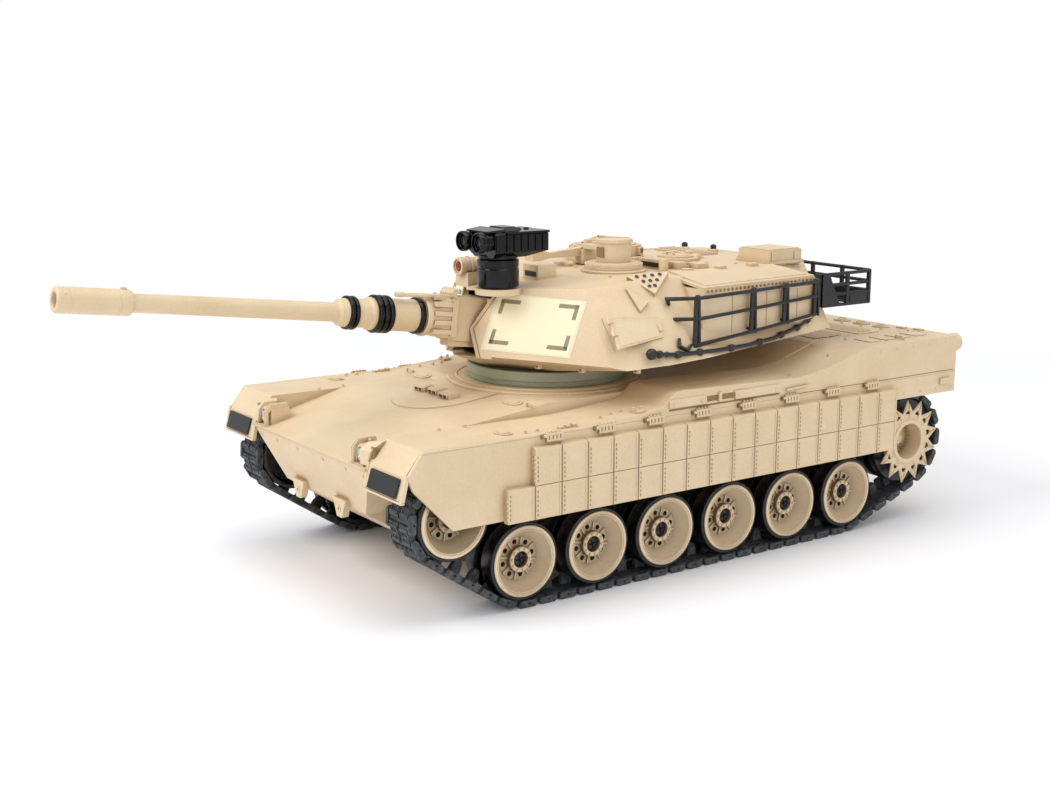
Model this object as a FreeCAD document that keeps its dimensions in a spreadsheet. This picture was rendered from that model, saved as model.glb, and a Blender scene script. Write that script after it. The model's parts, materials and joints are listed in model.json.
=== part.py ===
"""Radio-controlled model battle tank, built as an assembly of separate pieces.

Millimetres, +Z up, the front of the tank towards -Y and its left side towards
+X.  The pieces are drawn with the origin on the ground under the middle of the
hull, and written with it under the middle of the whole length, gun included.
"""
import FreeCAD, Part
import Sketcher
import math
import os

Vector = FreeCAD.Vector
Rotation = FreeCAD.Rotation

SIZES = {
    # running gear
    "wheel_radius": 20.0,            # outside of the tyre
    "wheel_half_width": 11.7,        # from the guide groove's middle to one face
    "guide_half_gap": 2.2,           # half of the groove for the track's horns
    "groove_radius": 12.5,
    "wheel_axle_height": 24.6,
    "first_wheel_y": -120.4,
    "wheel_pitch": 45.0,
    "idler_y": -161.1,
    "idler_height": 51.7,
    "sprocket_y": 155.0,
    "sprocket_height": 48.0,
    "sprocket_tip_radius": 25.0,
    "sprocket_root_radius": 17.6,
    "sprocket_drum_radius": 24.9,
    "track_centre": 82.0,            # x of both tracks' middle
    "track_half_width": 11.5,
    "belt_thickness": 4.5,
    "belt_clearance": 0.1,
    "axle_radius": 2.0,
    "running_gap": 0.05,             # radial clearance of every running fit
    # hull
    "hull_front": -191.5,
    "hull_rear": 190.0,
    "tail_lamp_length": 8.0,
    "tail_lamp_radius": 5.2,
    "headlamp_x": 53.0,
    "headlamp_height": 80.5,
    "headlamp_face": 185.0,          # distance of the lens pocket ahead of the origin
    "lens_radius": 2.8,
    "tub_half_width": 61.6,
    "belly_height": 19.0,
    "bow_seam": 73.0,                # joint of tub and deck ahead of bow_seam_y
    "bow_seam_y": -160.0,
    "wall": 2.5,
    "deck_height": 94.0,
    "engine_deck_height": 108.4,
    "fender_height": 88.4,
    "sponson_floor": 80.5,
    "sponson_half_width": 95.2,
    "hull_half_width": 97.4,
    "skirt_top": 86.8,
    "skirt_bottom": 48.2,
    "armour_half_width": 101.5,
    "armour_bottom": 47.0,
    "armour_seam": 64.0,
    "armour_top": 83.0,
    "armour_pitch": 16.0,
    "armour_front": -119.0,
    "hinge_front": -106.0,           # first of the skirt's hinge blocks
    "hinge_pitch": 32.0,
    "hinge_half_width": 99.2,
    # turret
    "ring_y": -40.0,
    "collar_radius": 52.0,
    "collar_height": 95.6,
    "base_radius": 44.5,
    "spigot_radius": 40.0,
    "turret_floor": 104.0,
    "turret_edge": 112.5,
    "turret_half_width": 97.0,
    "turret_roof": 153.5,
    "turret_rear": 110.0,
    "mantlet_slot": 15.6,
    "mantlet_half_width": 15.0,
    "cupola_radius": 20.0,
    "cupola_height": 9.0,
    "loader_ring_radius": 15.5,
    "loader_ring_height": 2.5,
    # gun
    "trunnion_y": -74.0,
    "trunnion_height": 128.85,
    "gun_elevation": 7.05,           # degrees above level at rest
    "gun_length": 241.5,             # trunnion to muzzle
    "sleeve_radius": 8.4,
    "tube_radius": 4.5,
    "muzzle_radius": 6.2,
    "muzzle_chamfer": 0.6,
    "trunnion_radius": 3.0,
    "bore_radius": 3.6,
    # sight and hatches
    "sight_x": 20.0,
    "sight_y": -86.0,
    "sight_floor": 150.0,
    "sight_deck": 164.5,
    "pedestal_radius": 11.0,
    "commander_x": -24.0,
    "commander_y": 20.0,
    "loader_x": 22.0,
    "loader_y": 34.0,
    "hatch_radius": 13.0,
    "knuckle_radius": 1.2,
}

WHEELS_PER_SIDE = 6
SPROCKET_TEETH = 13
LEFT, RIGHT = 1, -1
SIDES = (("left", LEFT), ("right", RIGHT))

doc = FreeCAD.newDocument("RcTank")
sheet = doc.addObject("Spreadsheet::Sheet", "Sizes")
pieces = []                          # every exported sub-part


def fill_sheet():
    """One row for each driving dimension: its name in A, its value in B."""
    for row, (name, number) in enumerate(SIZES.items(), start=1):
        sheet.set("A%d" % row, name)
        sheet.set("B%d" % row, str(number))
        sheet.setAlias("B%d" % row, name)
    doc.recompute()


def size(name):
    """A driving dimension, read back from the sheet."""
    return float(sheet.get(name))


# ---------------------------------------------------------------- helpers

def bind(item, **formulas):
    """Bind properties to formulas: a name like Placement_Base_x means .Placement.Base.x"""
    for name, formula in formulas.items():
        item.setExpression(name.replace("_", ".") if name.startswith("Placement") else name, str(formula))


def keep(item, label):
    """Give a finished sub-part its label and list it for export."""
    item.Label = label
    pieces.append(item)
    return item


def new_body(label):
    return keep(doc.addObject("PartDesign::Body", label + "_body"), label)


def place(item, x="0", y="0", z="0", turned=False):
    """Move a sub-part by formulas; turned faces it the other way about Z."""
    if turned:
        item.Placement = FreeCAD.Placement(Vector(), Rotation(Vector(0, 0, 1), 180))
    bind(item, Placement_Base_x=x, Placement_Base_y=y, Placement_Base_z=z)


def origin_plane(body, role):
    return next(f for f in body.Origin.OriginFeatures if f.Role == role)


def new_sketch(body, plane, offset="0"):
    """A sketch on one of the body's origin planes, shifted along the plane's normal."""
    sketch = body.newObject("Sketcher::SketchObject", "Sketch")
    sketch.AttachmentSupport = [(origin_plane(body, plane), "")]
    sketch.MapMode = "FlatFace"
    sketch.setExpression("AttachmentOffset.Base.z", str(offset))
    return sketch


def pin_point(sketch, geometry, corner, x, y):
    """Hold a point of the sketch at two formulas, measured from the origin."""
    for kind, formula in (("DistanceX", x), ("DistanceY", y)):
        index = sketch.addConstraint(Sketcher.Constraint(kind, geometry, corner, 1.0))
        sketch.setExpression("Constraints[%d]" % index, str(formula))


def add_polygon(sketch, points):
    """A closed outline of straight lines through points given as pairs of formulas."""
    count = len(points)
    first = sketch.GeometryCount
    ring = [Vector(math.cos(2 * math.pi * i / count), math.sin(2 * math.pi * i / count), 0)
            for i in range(count)]
    for i in range(count):
        sketch.addGeometry(Part.LineSegment(ring[i], ring[(i + 1) % count]))
    for i in range(count):
        sketch.addConstraint(Sketcher.Constraint("Coincident", first + i, 2, first + (i + 1) % count, 1))
    for i, (x, y) in enumerate(points):
        pin_point(sketch, first + i, 1, x, y)


def add_circle(sketch, radius, x="0", y="0"):
    circle = sketch.addGeometry(Part.Circle(Vector(1, 1, 0), Vector(0, 0, 1), 1.0))
    index = sketch.addConstraint(Sketcher.Constraint("Radius", circle, 1.0))
    sketch.setExpression("Constraints[%d]" % index, str(radius))
    pin_point(sketch, circle, 3, x, y)


def box_points(x0, x1, y0, y1):
    return [(x0, y0), (x1, y0), (x1, y1), (x0, y1)]


def add_feature(body, kind, sketch, **formulas):
    feature = body.newObject("PartDesign::" + kind, kind)
    feature.Profile = sketch
    for name, formula in formulas.items():
        feature.setExpression(name, str(formula))
    return feature


def pad_polygon(body, plane, points, start, length):
    """A pad of a straight-sided outline, from start for a length along the plane's normal."""
    sketch = new_sketch(body, plane, start)
    add_polygon(sketch, points)
    return add_feature(body, "Pad", sketch, Length=length)


def pocket_polygon(body, plane, points, start, length):
    """A pocket that removes the outline from start for a length along the plane's normal."""
    sketch = new_sketch(body, plane, start)
    add_polygon(sketch, points)
    pocket = add_feature(body, "Pocket", sketch, Length=length)
    pocket.Reversed = True
    return pocket


def pad_circle(body, plane, radius, start, length, x="0", y="0"):
    sketch = new_sketch(body, plane, start)
    add_circle(sketch, radius, x, y)
    return add_feature(body, "Pad", sketch, Length=length)


def pocket_circle(body, plane, radius, start, length, x="0", y="0"):
    sketch = new_sketch(body, plane, start)
    add_circle(sketch, radius, x, y)
    pocket = add_feature(body, "Pocket", sketch, Length=length)
    pocket.Reversed = True
    return pocket


def revolve(body, points):
    """A solid turned about the body's X axis; points are (along the axis, radius)."""
    sketch = new_sketch(body, "XY_Plane")
    add_polygon(sketch, points)
    turned = add_feature(body, "Revolution", sketch)
    turned.ReferenceAxis = (sketch, ["H_Axis"])
    turned.Angle = 360
    return turned


def repeat_round(body, feature, axis_sketch, count):
    """Repeat a feature round the normal of a sketch."""
    pattern = body.newObject("PartDesign::PolarPattern", "PolarPattern")
    pattern.Originals = [feature]
    pattern.Axis = (axis_sketch, ["N_Axis"])
    pattern.Angle = 360
    pattern.Occurrences = count
    body.Tip = pattern
    return pattern


def cylinder(x, y, z, radius, height, axis=Vector(0, 0, 1)):
    """A Part cylinder from a base point along an axis, all sizes given as formulas."""
    item = doc.addObject("Part::Cylinder", "Cylinder")
    item.Placement = FreeCAD.Placement(Vector(), Rotation(Vector(0, 0, 1), axis))
    bind(item, Radius=radius, Height=height, Placement_Base_x=x, Placement_Base_y=y, Placement_Base_z=z)
    return item


def box(x0, x1, y0, y1, z0, z1):
    """A Part box between two corners given as formulas."""
    item = doc.addObject("Part::Box", "Box")
    bind(item, Length="(%s)-(%s)" % (x1, x0), Width="(%s)-(%s)" % (y1, y0), Height="(%s)-(%s)" % (z1, z0),
         Placement_Base_x=x0, Placement_Base_y=y0, Placement_Base_z=z0)
    return item


def group(label, items):
    """Several separate solids of one kind, kept together in one sub-part."""
    compound = doc.addObject("Part::Compound", label + "_group")
    compound.Links = items
    return keep(compound, label)


def cut(base, tool):
    removed = doc.addObject("Part::Cut", "Cut")
    removed.Base = base
    removed.Tool = tool
    return removed


def solid_feature(label, shape):
    """A sub-part whose shape is worked out in code from the sheet's sizes."""
    item = doc.addObject("Part::Feature", label + "_solid")
    item.Shape = shape
    return keep(item, label)


def rod(start, end, radius):
    """A straight round rod between two points."""
    along = end - start
    return Part.makeCylinder(radius, along.Length, start, along)


def bent_rod(points, radius):
    """A round rod bent along a chain of points, with mitred corners."""
    path = Part.makePolygon(points)
    ring = Part.Wire(Part.makeCircle(radius, points[0], points[1] - points[0]))
    mitred = 1
    return path.makePipeShell([ring], True, False, mitred)


def planed(block, planes):
    """A block with everything outside each (point, outward normal) plane taken off."""
    reach = 700.0
    for point, normal in planes:
        slab = Part.makeBox(reach, reach, reach, Vector(-reach / 2, -reach / 2, 0))
        slab.Placement = FreeCAD.Placement(Vector(*point), Rotation(Vector(0, 0, 1), Vector(*normal)))
        block = block.cut(slab)
    return block


# ---------------------------------------------------------------- running gear

def wheel_stations():
    """(station name, formula for y, formula for height) of the seven wheels of one side."""
    stations = [("idler", "Sizes.idler_y", "Sizes.idler_height")]
    for number in range(WHEELS_PER_SIDE):
        y = "Sizes.first_wheel_y + %d * Sizes.wheel_pitch" % number
        stations.append(("road_%d" % (number + 1), y, "Sizes.wheel_axle_height"))
    return stations


def put_on_axle(body, side, y, height):
    """Place a wheel piece, drawn about its own X axis, at its station on one side."""
    x = "Sizes.track_centre" if side == LEFT else "-Sizes.track_centre"
    place(body, x, y, height, turned=(side == RIGHT))


def make_wheel(label, side, y, height):
    """Black dual wheel with its two tyres; the outer half is hollow for the tan disc."""
    body = new_body(label)
    bore = "Sizes.axle_radius + Sizes.running_gap"
    face = "Sizes.wheel_half_width"
    gap = "Sizes.guide_half_gap"
    revolve(body, [
        ("-" + face, bore), ("-" + face, "6"), ("-8", "6"), ("-8", "17"),
        ("-" + face, "18.2"), ("-" + face, "Sizes.wheel_radius"),
        ("-" + gap, "Sizes.wheel_radius"), ("-" + gap, "Sizes.groove_radius"),
        (gap, "Sizes.groove_radius"), (gap, "Sizes.wheel_radius"),
        (face, "Sizes.wheel_radius"), (face, "18.3"), ("3.2", "18.3"), ("3.2", bore)])
    put_on_axle(body, side, y, height)


def make_wheel_disc(label, side, y, height):
    """Tan dish pressed into the outer half: rim, sloping web and a bolted hub."""
    body = new_body(label)
    bore = "Sizes.axle_radius + Sizes.running_gap"
    lip = "Sizes.wheel_half_width + 0.8"
    revolve(body, [
        ("3.3", bore), ("3.3", "18.2"), ("Sizes.wheel_half_width", "18.2"),
        ("Sizes.wheel_half_width + 0.05", "18.9"), (lip, "18.7"), (lip, "17.0"),
        ("Sizes.wheel_half_width - 1", "15.9"), ("6", "14.6"), ("5", "9.6"),
        ("8.6", "8.8"), ("8.6", "4.2"), ("4.8", "4.2"), ("4.8", bore)])
    hole_sketch = new_sketch(body, "YZ_Plane", "3")
    add_circle(hole_sketch, "1.0", "12.2")
    hole = add_feature(body, "Pocket", hole_sketch, Length="4")
    hole.Reversed = True
    repeat_round(body, hole, hole_sketch, 8)
    put_on_axle(body, side, y, height)


def star_points(teeth, tip, root):
    """Corners of a ring of pointed teeth, as (y, z) numbers about the middle."""
    step = math.pi / teeth
    corners = []
    for i in range(2 * teeth):
        radius = tip if i % 2 == 0 else root
        corners.append(Vector(0, radius * math.sin(i * step), radius * math.cos(i * step)))
    return corners


def make_sprocket(label, side):
    """Drive sprocket: a drum under the track, a toothed ring at each edge and its shaft."""
    half = size("track_half_width")
    drum = size("sprocket_drum_radius")
    groove = size("guide_half_gap") + 0.4
    hub, hollow, shaft = 16.4, 10.6, 3.0
    ring_thickness, ring_gap = 1.5, 0.25
    axis = Vector(1, 0, 0)

    def disc(x0, x1, radius):
        return Part.makeCylinder(radius, x1 - x0, Vector(x0, 0, 0), axis)

    def toothed_ring(x0):
        corners = star_points(SPROCKET_TEETH, size("sprocket_tip_radius"), size("sprocket_root_radius"))
        corners.append(corners[0])
        face = Part.Face(Part.makePolygon(corners))
        face.translate(Vector(x0, 0, 0))
        return face.extrude(Vector(ring_thickness, 0, 0))

    outer_x = half + ring_gap
    shape = disc(-half, -groove, drum).multiFuse([
        disc(groove, half, drum), disc(-outer_x, outer_x + ring_thickness, hub),
        toothed_ring(outer_x), toothed_ring(-outer_x - ring_thickness),
        disc(-half - 22.0, 0, shaft)])
    shape = shape.cut(disc(1.0, outer_x + ring_thickness + 1, hollow)).removeSplitter()
    item = solid_feature(label, shape)
    turn = Rotation(Vector(0, 0, 1), 0 if side == LEFT else 180)
    item.Placement = FreeCAD.Placement(
        Vector(side * size("track_centre"), size("sprocket_y"), size("sprocket_height")), turn)


def belt_outline(extra):
    """Closed wire round the idler, the end road wheels and the sprocket, in the YZ plane."""
    rim = size("wheel_radius") + size("belt_clearance")
    drum = size("sprocket_drum_radius") + size("belt_clearance")
    last_wheel_y = size("first_wheel_y") + (WHEELS_PER_SIDE - 1) * size("wheel_pitch")
    pulleys = [
        (size("idler_y"), size("idler_height"), rim + extra),
        (size("first_wheel_y"), size("wheel_axle_height"), rim + extra),
        (last_wheel_y, size("wheel_axle_height"), rim + extra),
        (size("sprocket_y"), size("sprocket_height"), drum + extra)]
    touches = []                     # for each run: the point it leaves and the point it meets
    for here, there in zip(pulleys, pulleys[1:] + pulleys[:1]):
        dy, dz = there[0] - here[0], there[1] - here[1]
        lean = math.atan2(dz, dy) - math.acos((here[2] - there[2]) / math.hypot(dy, dz))
        normal = Vector(0, math.cos(lean), math.sin(lean))
        touches.append((Vector(0, here[0], here[1]) + normal * here[2],
                        Vector(0, there[0], there[1]) + normal * there[2]))
    edges = []
    for i, (leave, meet) in enumerate(touches):
        following = touches[(i + 1) % len(touches)][0]
        y, z, radius = pulleys[(i + 1) % len(pulleys)]
        middle = (meet + following) * 0.5 - Vector(0, y, z)
        if middle.Length < 1e-6:
            middle = Vector(0, 1, 0)
        edges.append(Part.makeLine(leave, meet))
        edges.append(Part.Arc(meet, Vector(0, y, z) + middle.normalize() * radius, following).toShape())
    return Part.Wire(edges)


def make_track(label, side):
    """The rubber track: one closed belt of even thickness."""
    outer = Part.Face(belt_outline(size("belt_thickness")))
    inner = Part.Face(belt_outline(0))
    half = size("track_half_width")
    shape = outer.cut(inner).extrude(Vector(2 * half, 0, 0))
    item = solid_feature(label, shape)
    item.Placement = FreeCAD.Placement(Vector(side * size("track_centre") - half, 0, 0), Rotation())


def make_axles_and_screws():
    """Steel stub axles through the tub's walls, each ending in a black screw."""
    axles, screws = [], []
    for side in (LEFT, RIGHT):
        axis = Vector(side, 0, 0)
        for _, y, height in wheel_stations():
            inner = "%d * (Sizes.tub_half_width - 8)" % side
            outer = "%d * (Sizes.track_centre + 4.9)" % side
            length = "Sizes.track_centre - Sizes.tub_half_width + 12.9"
            axles.append(cylinder(inner, y, height, "Sizes.axle_radius", length, axis))
            screws.append(cylinder(outer, y, height, "3.6", "2.2", axis))
    group("wheel_axles", axles)
    group("wheel_screws", screws)


def make_running_gear():
    for side_name, side in SIDES:
        for station, y, height in wheel_stations():
            make_wheel("%s_wheel_%s" % (station, side_name), side, y, height)
            make_wheel_disc("%s_disc_%s" % (station, side_name), side, y, height)
        make_sprocket("sprocket_" + side_name, side)
        make_track("track_" + side_name, side)
    make_axles_and_screws()


# ---------------------------------------------------------------- hull

def make_lower_hull():
    """The tub: a hollow tray with the sloping bow plate, axle bosses and a battery opening."""
    body = new_body("lower_hull")
    floor = "Sizes.sponson_floor - 0.2"
    outside = [
        ("Sizes.hull_front + 2", "Sizes.bow_seam - 0.2"), ("Sizes.hull_front + 11", "46.5"),
        ("-138", "Sizes.belly_height"), ("146", "Sizes.belly_height"), ("172", "52"),
        ("Sizes.hull_rear - 2", "76"), ("Sizes.hull_rear - 2", floor), ("Sizes.bow_seam_y", floor),
        ("Sizes.bow_seam_y", "Sizes.bow_seam - 0.2")]
    pad_polygon(body, "YZ_Plane", outside, "-Sizes.tub_half_width", "2 * Sizes.tub_half_width")
    inside = [
        ("-157", "71"), ("-157", "48"), ("-136.5", "Sizes.belly_height + Sizes.wall"),
        ("144.5", "Sizes.belly_height + Sizes.wall"), ("169", "53"), ("184", "77"),
        ("184", "90"), ("-157", "90")]
    pocket_polygon(body, "YZ_Plane", inside, "-Sizes.tub_half_width + Sizes.wall",
                   "2 * Sizes.tub_half_width - 2 * Sizes.wall")
    for side in (LEFT, RIGHT):
        corner = [("%d * 62" % side, "72"), ("%d * 43" % side, "46"), ("%d * 43" % side, "12"),
                  ("%d * 62" % side, "12")]
        pocket_polygon(body, "XZ_Plane", corner, "168", "30")
    opening = box_points("-26", "26", "-52", "42")
    pocket_polygon(body, "XY_Plane", opening, "Sizes.belly_height - 1", "Sizes.wall + 2")
    for _, y, height in wheel_stations():
        pocket_circle(body, "YZ_Plane", "Sizes.axle_radius", "-100", "200", y, height)
    pocket_circle(body, "YZ_Plane", "3.0 + Sizes.running_gap", "-100", "200",
                  "Sizes.sprocket_y", "Sizes.sprocket_height")
    pocket_polygon(body, "XY_Plane", box_points("28", "40", "60", "66"), "Sizes.belly_height - 1",
                   "Sizes.wall + 2")


def make_upper_hull():
    """Deck, glacis, fenders and sponsons, with the turret collar and a hollow underside."""
    body = new_body("upper_hull")
    floor, front, rear = "Sizes.sponson_floor", "Sizes.hull_front", "Sizes.hull_rear"
    deck = [
        (front, "74.6"), ("-137", "Sizes.fender_height - 0.4"), ("-94", "92.4"),
        ("-84", "Sizes.deck_height"), ("62", "95"), ("80", "99.5"),
        ("108", "Sizes.engine_deck_height"), (rear, "Sizes.engine_deck_height"), (rear, floor),
        ("Sizes.bow_seam_y - 0.2", floor), ("Sizes.bow_seam_y - 0.2", "Sizes.bow_seam"),
        (front + " + 1.4", "Sizes.bow_seam")]
    pad_polygon(body, "YZ_Plane", deck, "-Sizes.tub_half_width", "2 * Sizes.tub_half_width")
    sponson = [
        ("-191.8", "66.5"), ("-188.6", "77.2"), ("-179.3", "Sizes.fender_height"), ("-83", "88.0"),
        ("-45", "90.8"), ("-36.5", "92.3"), ("-29", "98.6"), ("-24", "99.4"), ("61", "96.9"),
        ("84", "100.4"), ("113", "107.8"), ("118", "108.5"), (rear, "108.5"), (rear, floor),
        ("-183", floor), ("-187", "76.5"), ("-190", "66")]
    width = "Sizes.sponson_half_width - Sizes.tub_half_width"
    pad_polygon(body, "YZ_Plane", sponson, "Sizes.tub_half_width", width)
    pad_polygon(body, "YZ_Plane", sponson, "-Sizes.sponson_half_width", width)
    outer_top = [p for p in sponson[2:13]]
    outer_strip = outer_top + [(rear, "Sizes.skirt_top + 0.4"), ("-180.5", "Sizes.skirt_top + 0.4")]
    strip_width = "Sizes.hull_half_width - Sizes.sponson_half_width"
    pad_polygon(body, "YZ_Plane", outer_strip, "Sizes.sponson_half_width", strip_width)
    pad_polygon(body, "YZ_Plane", outer_strip, "-Sizes.hull_half_width", strip_width)
    pad_circle(body, "XY_Plane", "Sizes.collar_radius", "Sizes.deck_height - 4",
               "Sizes.collar_height - Sizes.deck_height + 4", "0", "Sizes.ring_y")
    cavity = [
        ("-154", floor), ("-136", "Sizes.fender_height - 3.4"), ("-92", "89.6"), ("62", "92"),
        ("80", "96.5"), ("106", "Sizes.engine_deck_height - 3"), ("187", "Sizes.engine_deck_height - 3"),
        ("187", "70"), ("-154", "70")]
    pocket_polygon(body, "YZ_Plane", cavity, "-Sizes.tub_half_width + Sizes.wall",
                   "2 * Sizes.tub_half_width - 2 * Sizes.wall")
    pocket_circle(body, "XY_Plane", "Sizes.spigot_radius + Sizes.running_gap", "80", "30",
                  "0", "Sizes.ring_y")
    for side in (LEFT, RIGHT):
        lamp_x = "%d * Sizes.headlamp_x" % side
        pad_polygon(body, "XY_Plane",
                    box_points("%d * 47" % side, "%d * 60" % side, "-187", "-176")[::side],
                    "74", "10.5")
        pad_circle(body, "XZ_Plane", "Sizes.tail_lamp_radius",
                   "-Sizes.hull_rear - Sizes.tail_lamp_length", "Sizes.tail_lamp_length + 2",
                   "%d * 90" % side, "103")
        pocket_circle(body, "XZ_Plane", "Sizes.lens_radius + 0.1", "Sizes.headlamp_face", "3",
                      lamp_x, "Sizes.headlamp_height")


def make_skirt(label, side):
    """Side skirt: a long panel carrying two rows of armour boxes and eight hinge blocks."""
    body = new_body(label)
    near = "Sizes.sponson_half_width + 0.1"

    def slab(points, inner, outer):
        start = inner if side == LEFT else "-(%s)" % outer
        pad_polygon(body, "YZ_Plane", points, start, "(%s) - (%s)" % (outer, inner))

    top, bottom = "Sizes.skirt_top", "Sizes.skirt_bottom"
    slab([("-188.2", "77"), ("-185", "70"), ("-163.8", bottom), ("134.5", bottom), ("136", "75.2"),
          ("Sizes.hull_rear", "75.2"), ("Sizes.hull_rear", top), ("-180.5", top)],
         near, "Sizes.hull_half_width")
    last = "Sizes.armour_front + 16 * Sizes.armour_pitch - 1"
    lower_front = "Sizes.armour_front - Sizes.armour_pitch"
    for front, low, high in ((lower_front, "Sizes.armour_bottom", "Sizes.armour_seam"),
                             ("Sizes.armour_front", "Sizes.armour_seam", "Sizes.armour_top")):
        slab([(front, low), (last, low), (last, high), (front, high)],
             near, "Sizes.armour_half_width")
    for block in range(8):
        middle = "Sizes.hinge_front + %d * Sizes.hinge_pitch" % block
        ends = (middle + " - 5", middle + " + 5")
        slab(box_points(*ends, "84", top), near, "Sizes.hinge_half_width")
        slab(box_points(*ends, top, top + " + 2.2"), "Sizes.hull_half_width + 0.1", "Sizes.hinge_half_width")


def gearbox_case(inner, outer):
    """A gearbox casing whose rear foot is cut back to clear the tub's sloping tail."""
    foot, step, top = 30.0, 48.5, 70.0
    front, heel, rear = 126.0, 148.0, 163.0
    outline = [Vector(inner, front, foot), Vector(inner, heel, foot), Vector(inner, rear, step),
               Vector(inner, rear, top), Vector(inner, front, top), Vector(inner, front, foot)]
    return Part.Face(Part.makePolygon(outline)).extrude(Vector(outer - inner, 0, 0))


def make_belly_parts():
    """Battery cover, battery, circuit board, gearboxes, motors and the switch."""
    cover = new_body("battery_cover")
    pad_polygon(cover, "XY_Plane", box_points("-30", "30", "-56", "46"), "Sizes.belly_height - 1.7", "1.6")
    battery = new_body("battery_pack")
    pad_polygon(battery, "XY_Plane", box_points("-22", "22", "-46", "36"), "Sizes.belly_height + 3", "22")
    board = new_body("control_board")
    pad_polygon(board, "XY_Plane", box_points("-35", "35", "-140", "-75"), "60", "1.6")
    pad_polygon(board, "XY_Plane", box_points("-20", "-2", "-120", "-100"), "61.6", "3")
    pad_polygon(board, "XY_Plane", box_points("8", "26", "-130", "-116"), "61.6", "8")
    knob = new_body("power_switch")
    pad_polygon(knob, "XY_Plane", box_points("29", "34", "60.4", "65.6"), "Sizes.belly_height - 1.5", "4.5")
    pad_polygon(knob, "XY_Plane", box_points("27", "36", "58", "68"), "Sizes.belly_height + 2.6", "1.2")
    cases, motors = [], []
    for side in (LEFT, RIGHT):
        case = doc.addObject("Part::Feature", "Gearbox_case")
        case.Shape = gearbox_case(*sorted((side * 22, side * 58)))
        bore = cylinder("%d * 30" % side, "Sizes.sprocket_y", "Sizes.sprocket_height",
                        "3.0 + Sizes.running_gap", "40", Vector(side, 0, 0))
        cases.append(cut(case, bore))
        motors.append(cylinder("%d * 40" % side, "83", "46", "12", "38", Vector(0, 1, 0)))
    group("gearboxes", cases)
    group("drive_motors", motors)


def make_front_fittings():
    """Black mud flaps on the fenders' front plates and the two clear lamp lenses."""
    flaps, lenses = [], []
    for side in (LEFT, RIGHT):
        a, b = sorted((side * 66.5, side * 93))
        outline = [Vector(a, -191.9, 67.6), Vector(b, -191.9, 67.6), Vector(b, -189.2, 76.2),
                   Vector(a, -189.2, 76.2), Vector(a, -191.9, 67.6)]
        flaps.append(Part.Face(Part.makePolygon(outline)).extrude(Vector(0, -0.95, -0.3)))
        lenses.append(cylinder("%d * Sizes.headlamp_x" % side, "-Sizes.headlamp_face - 0.05",
                               "Sizes.headlamp_height", "Sizes.lens_radius", "2.3", Vector(0, -1, 0)))
    solid_feature("mud_flaps", Part.makeCompound(flaps))
    group("headlamp_lenses", lenses)


def make_hull():
    make_lower_hull()
    make_upper_hull()
    for side_name, side in SIDES:
        make_skirt("side_skirt_" + side_name, side)
    make_belly_parts()
    make_front_fittings()


# ---------------------------------------------------------------- turret

def turret_faces(inset=0.0):
    """(point, outward normal) of each flat face of the turret, moved inwards by inset."""
    edge, half = size("turret_edge"), size("turret_half_width")
    faces = [((0, 0, size("turret_roof")), (0, 0, 1)),
             ((0, -84, 148.3), (0, -0.09, 1)),
             ((0, size("turret_rear"), 130), (0, 1, -0.12)),
             ((0, 0, size("turret_floor")), (0, 0, -1)),
             ((0, -95.7 - 8.2, 113), (0, -1, -0.9))]
    for side in (LEFT, RIGHT):
        faces += [
            ((side * 15.5, -95.7, 113), (side * 0.53, -1, 0.345)),          # cheek
            ((side * 15.5, -95.7, 113), (side * 0.53, -1, -2.6)),           # under the cheek
            ((side * 84, -59.4, edge), (side * 0.91, -0.42, 0.6)),          # shoulder
            ((side * half, -30, edge), (side * 1, -0.05, 0.8)),             # side
            ((side * half, 0, edge), (side * 0.9, 0.17, 0.68)),             # rear half of the side
            ((side * half, 0, edge), (side * 0.3, 0, -1)),                  # under the side
            ((side * 60, 60, edge + 1.0), (side * 0.12, 0.05, -1))]         # under the bustle
    moved = []
    for point, normal in faces:
        outward = Vector(*normal).normalize()
        moved.append((Vector(*point) - outward * inset, outward))
    return moved


def turret_block(inset=0.0):
    block = Part.makeBox(260, 300, 80, Vector(-130, -130, 90))
    return planed(block, turret_faces(inset))


def mirrored_pair(shape):
    """A shape on the left side together with its mirror image on the right."""
    return [shape, shape.mirror(Vector(0, 0, 0), Vector(1, 0, 0))]


def bin_shape():
    """Stowage bin on the turret's left side, its floor rising towards the rear."""
    outline = [Vector(0, -1, 121), Vector(0, 80, 127), Vector(0, 81, 149.8), Vector(0, -1, 148.6),
               Vector(0, -1, 121)]
    shape = Part.Face(Part.makePolygon(outline)).extrude(Vector(36, 0, 0))
    shape.translate(Vector(50, 0, 0))
    return shape


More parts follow.
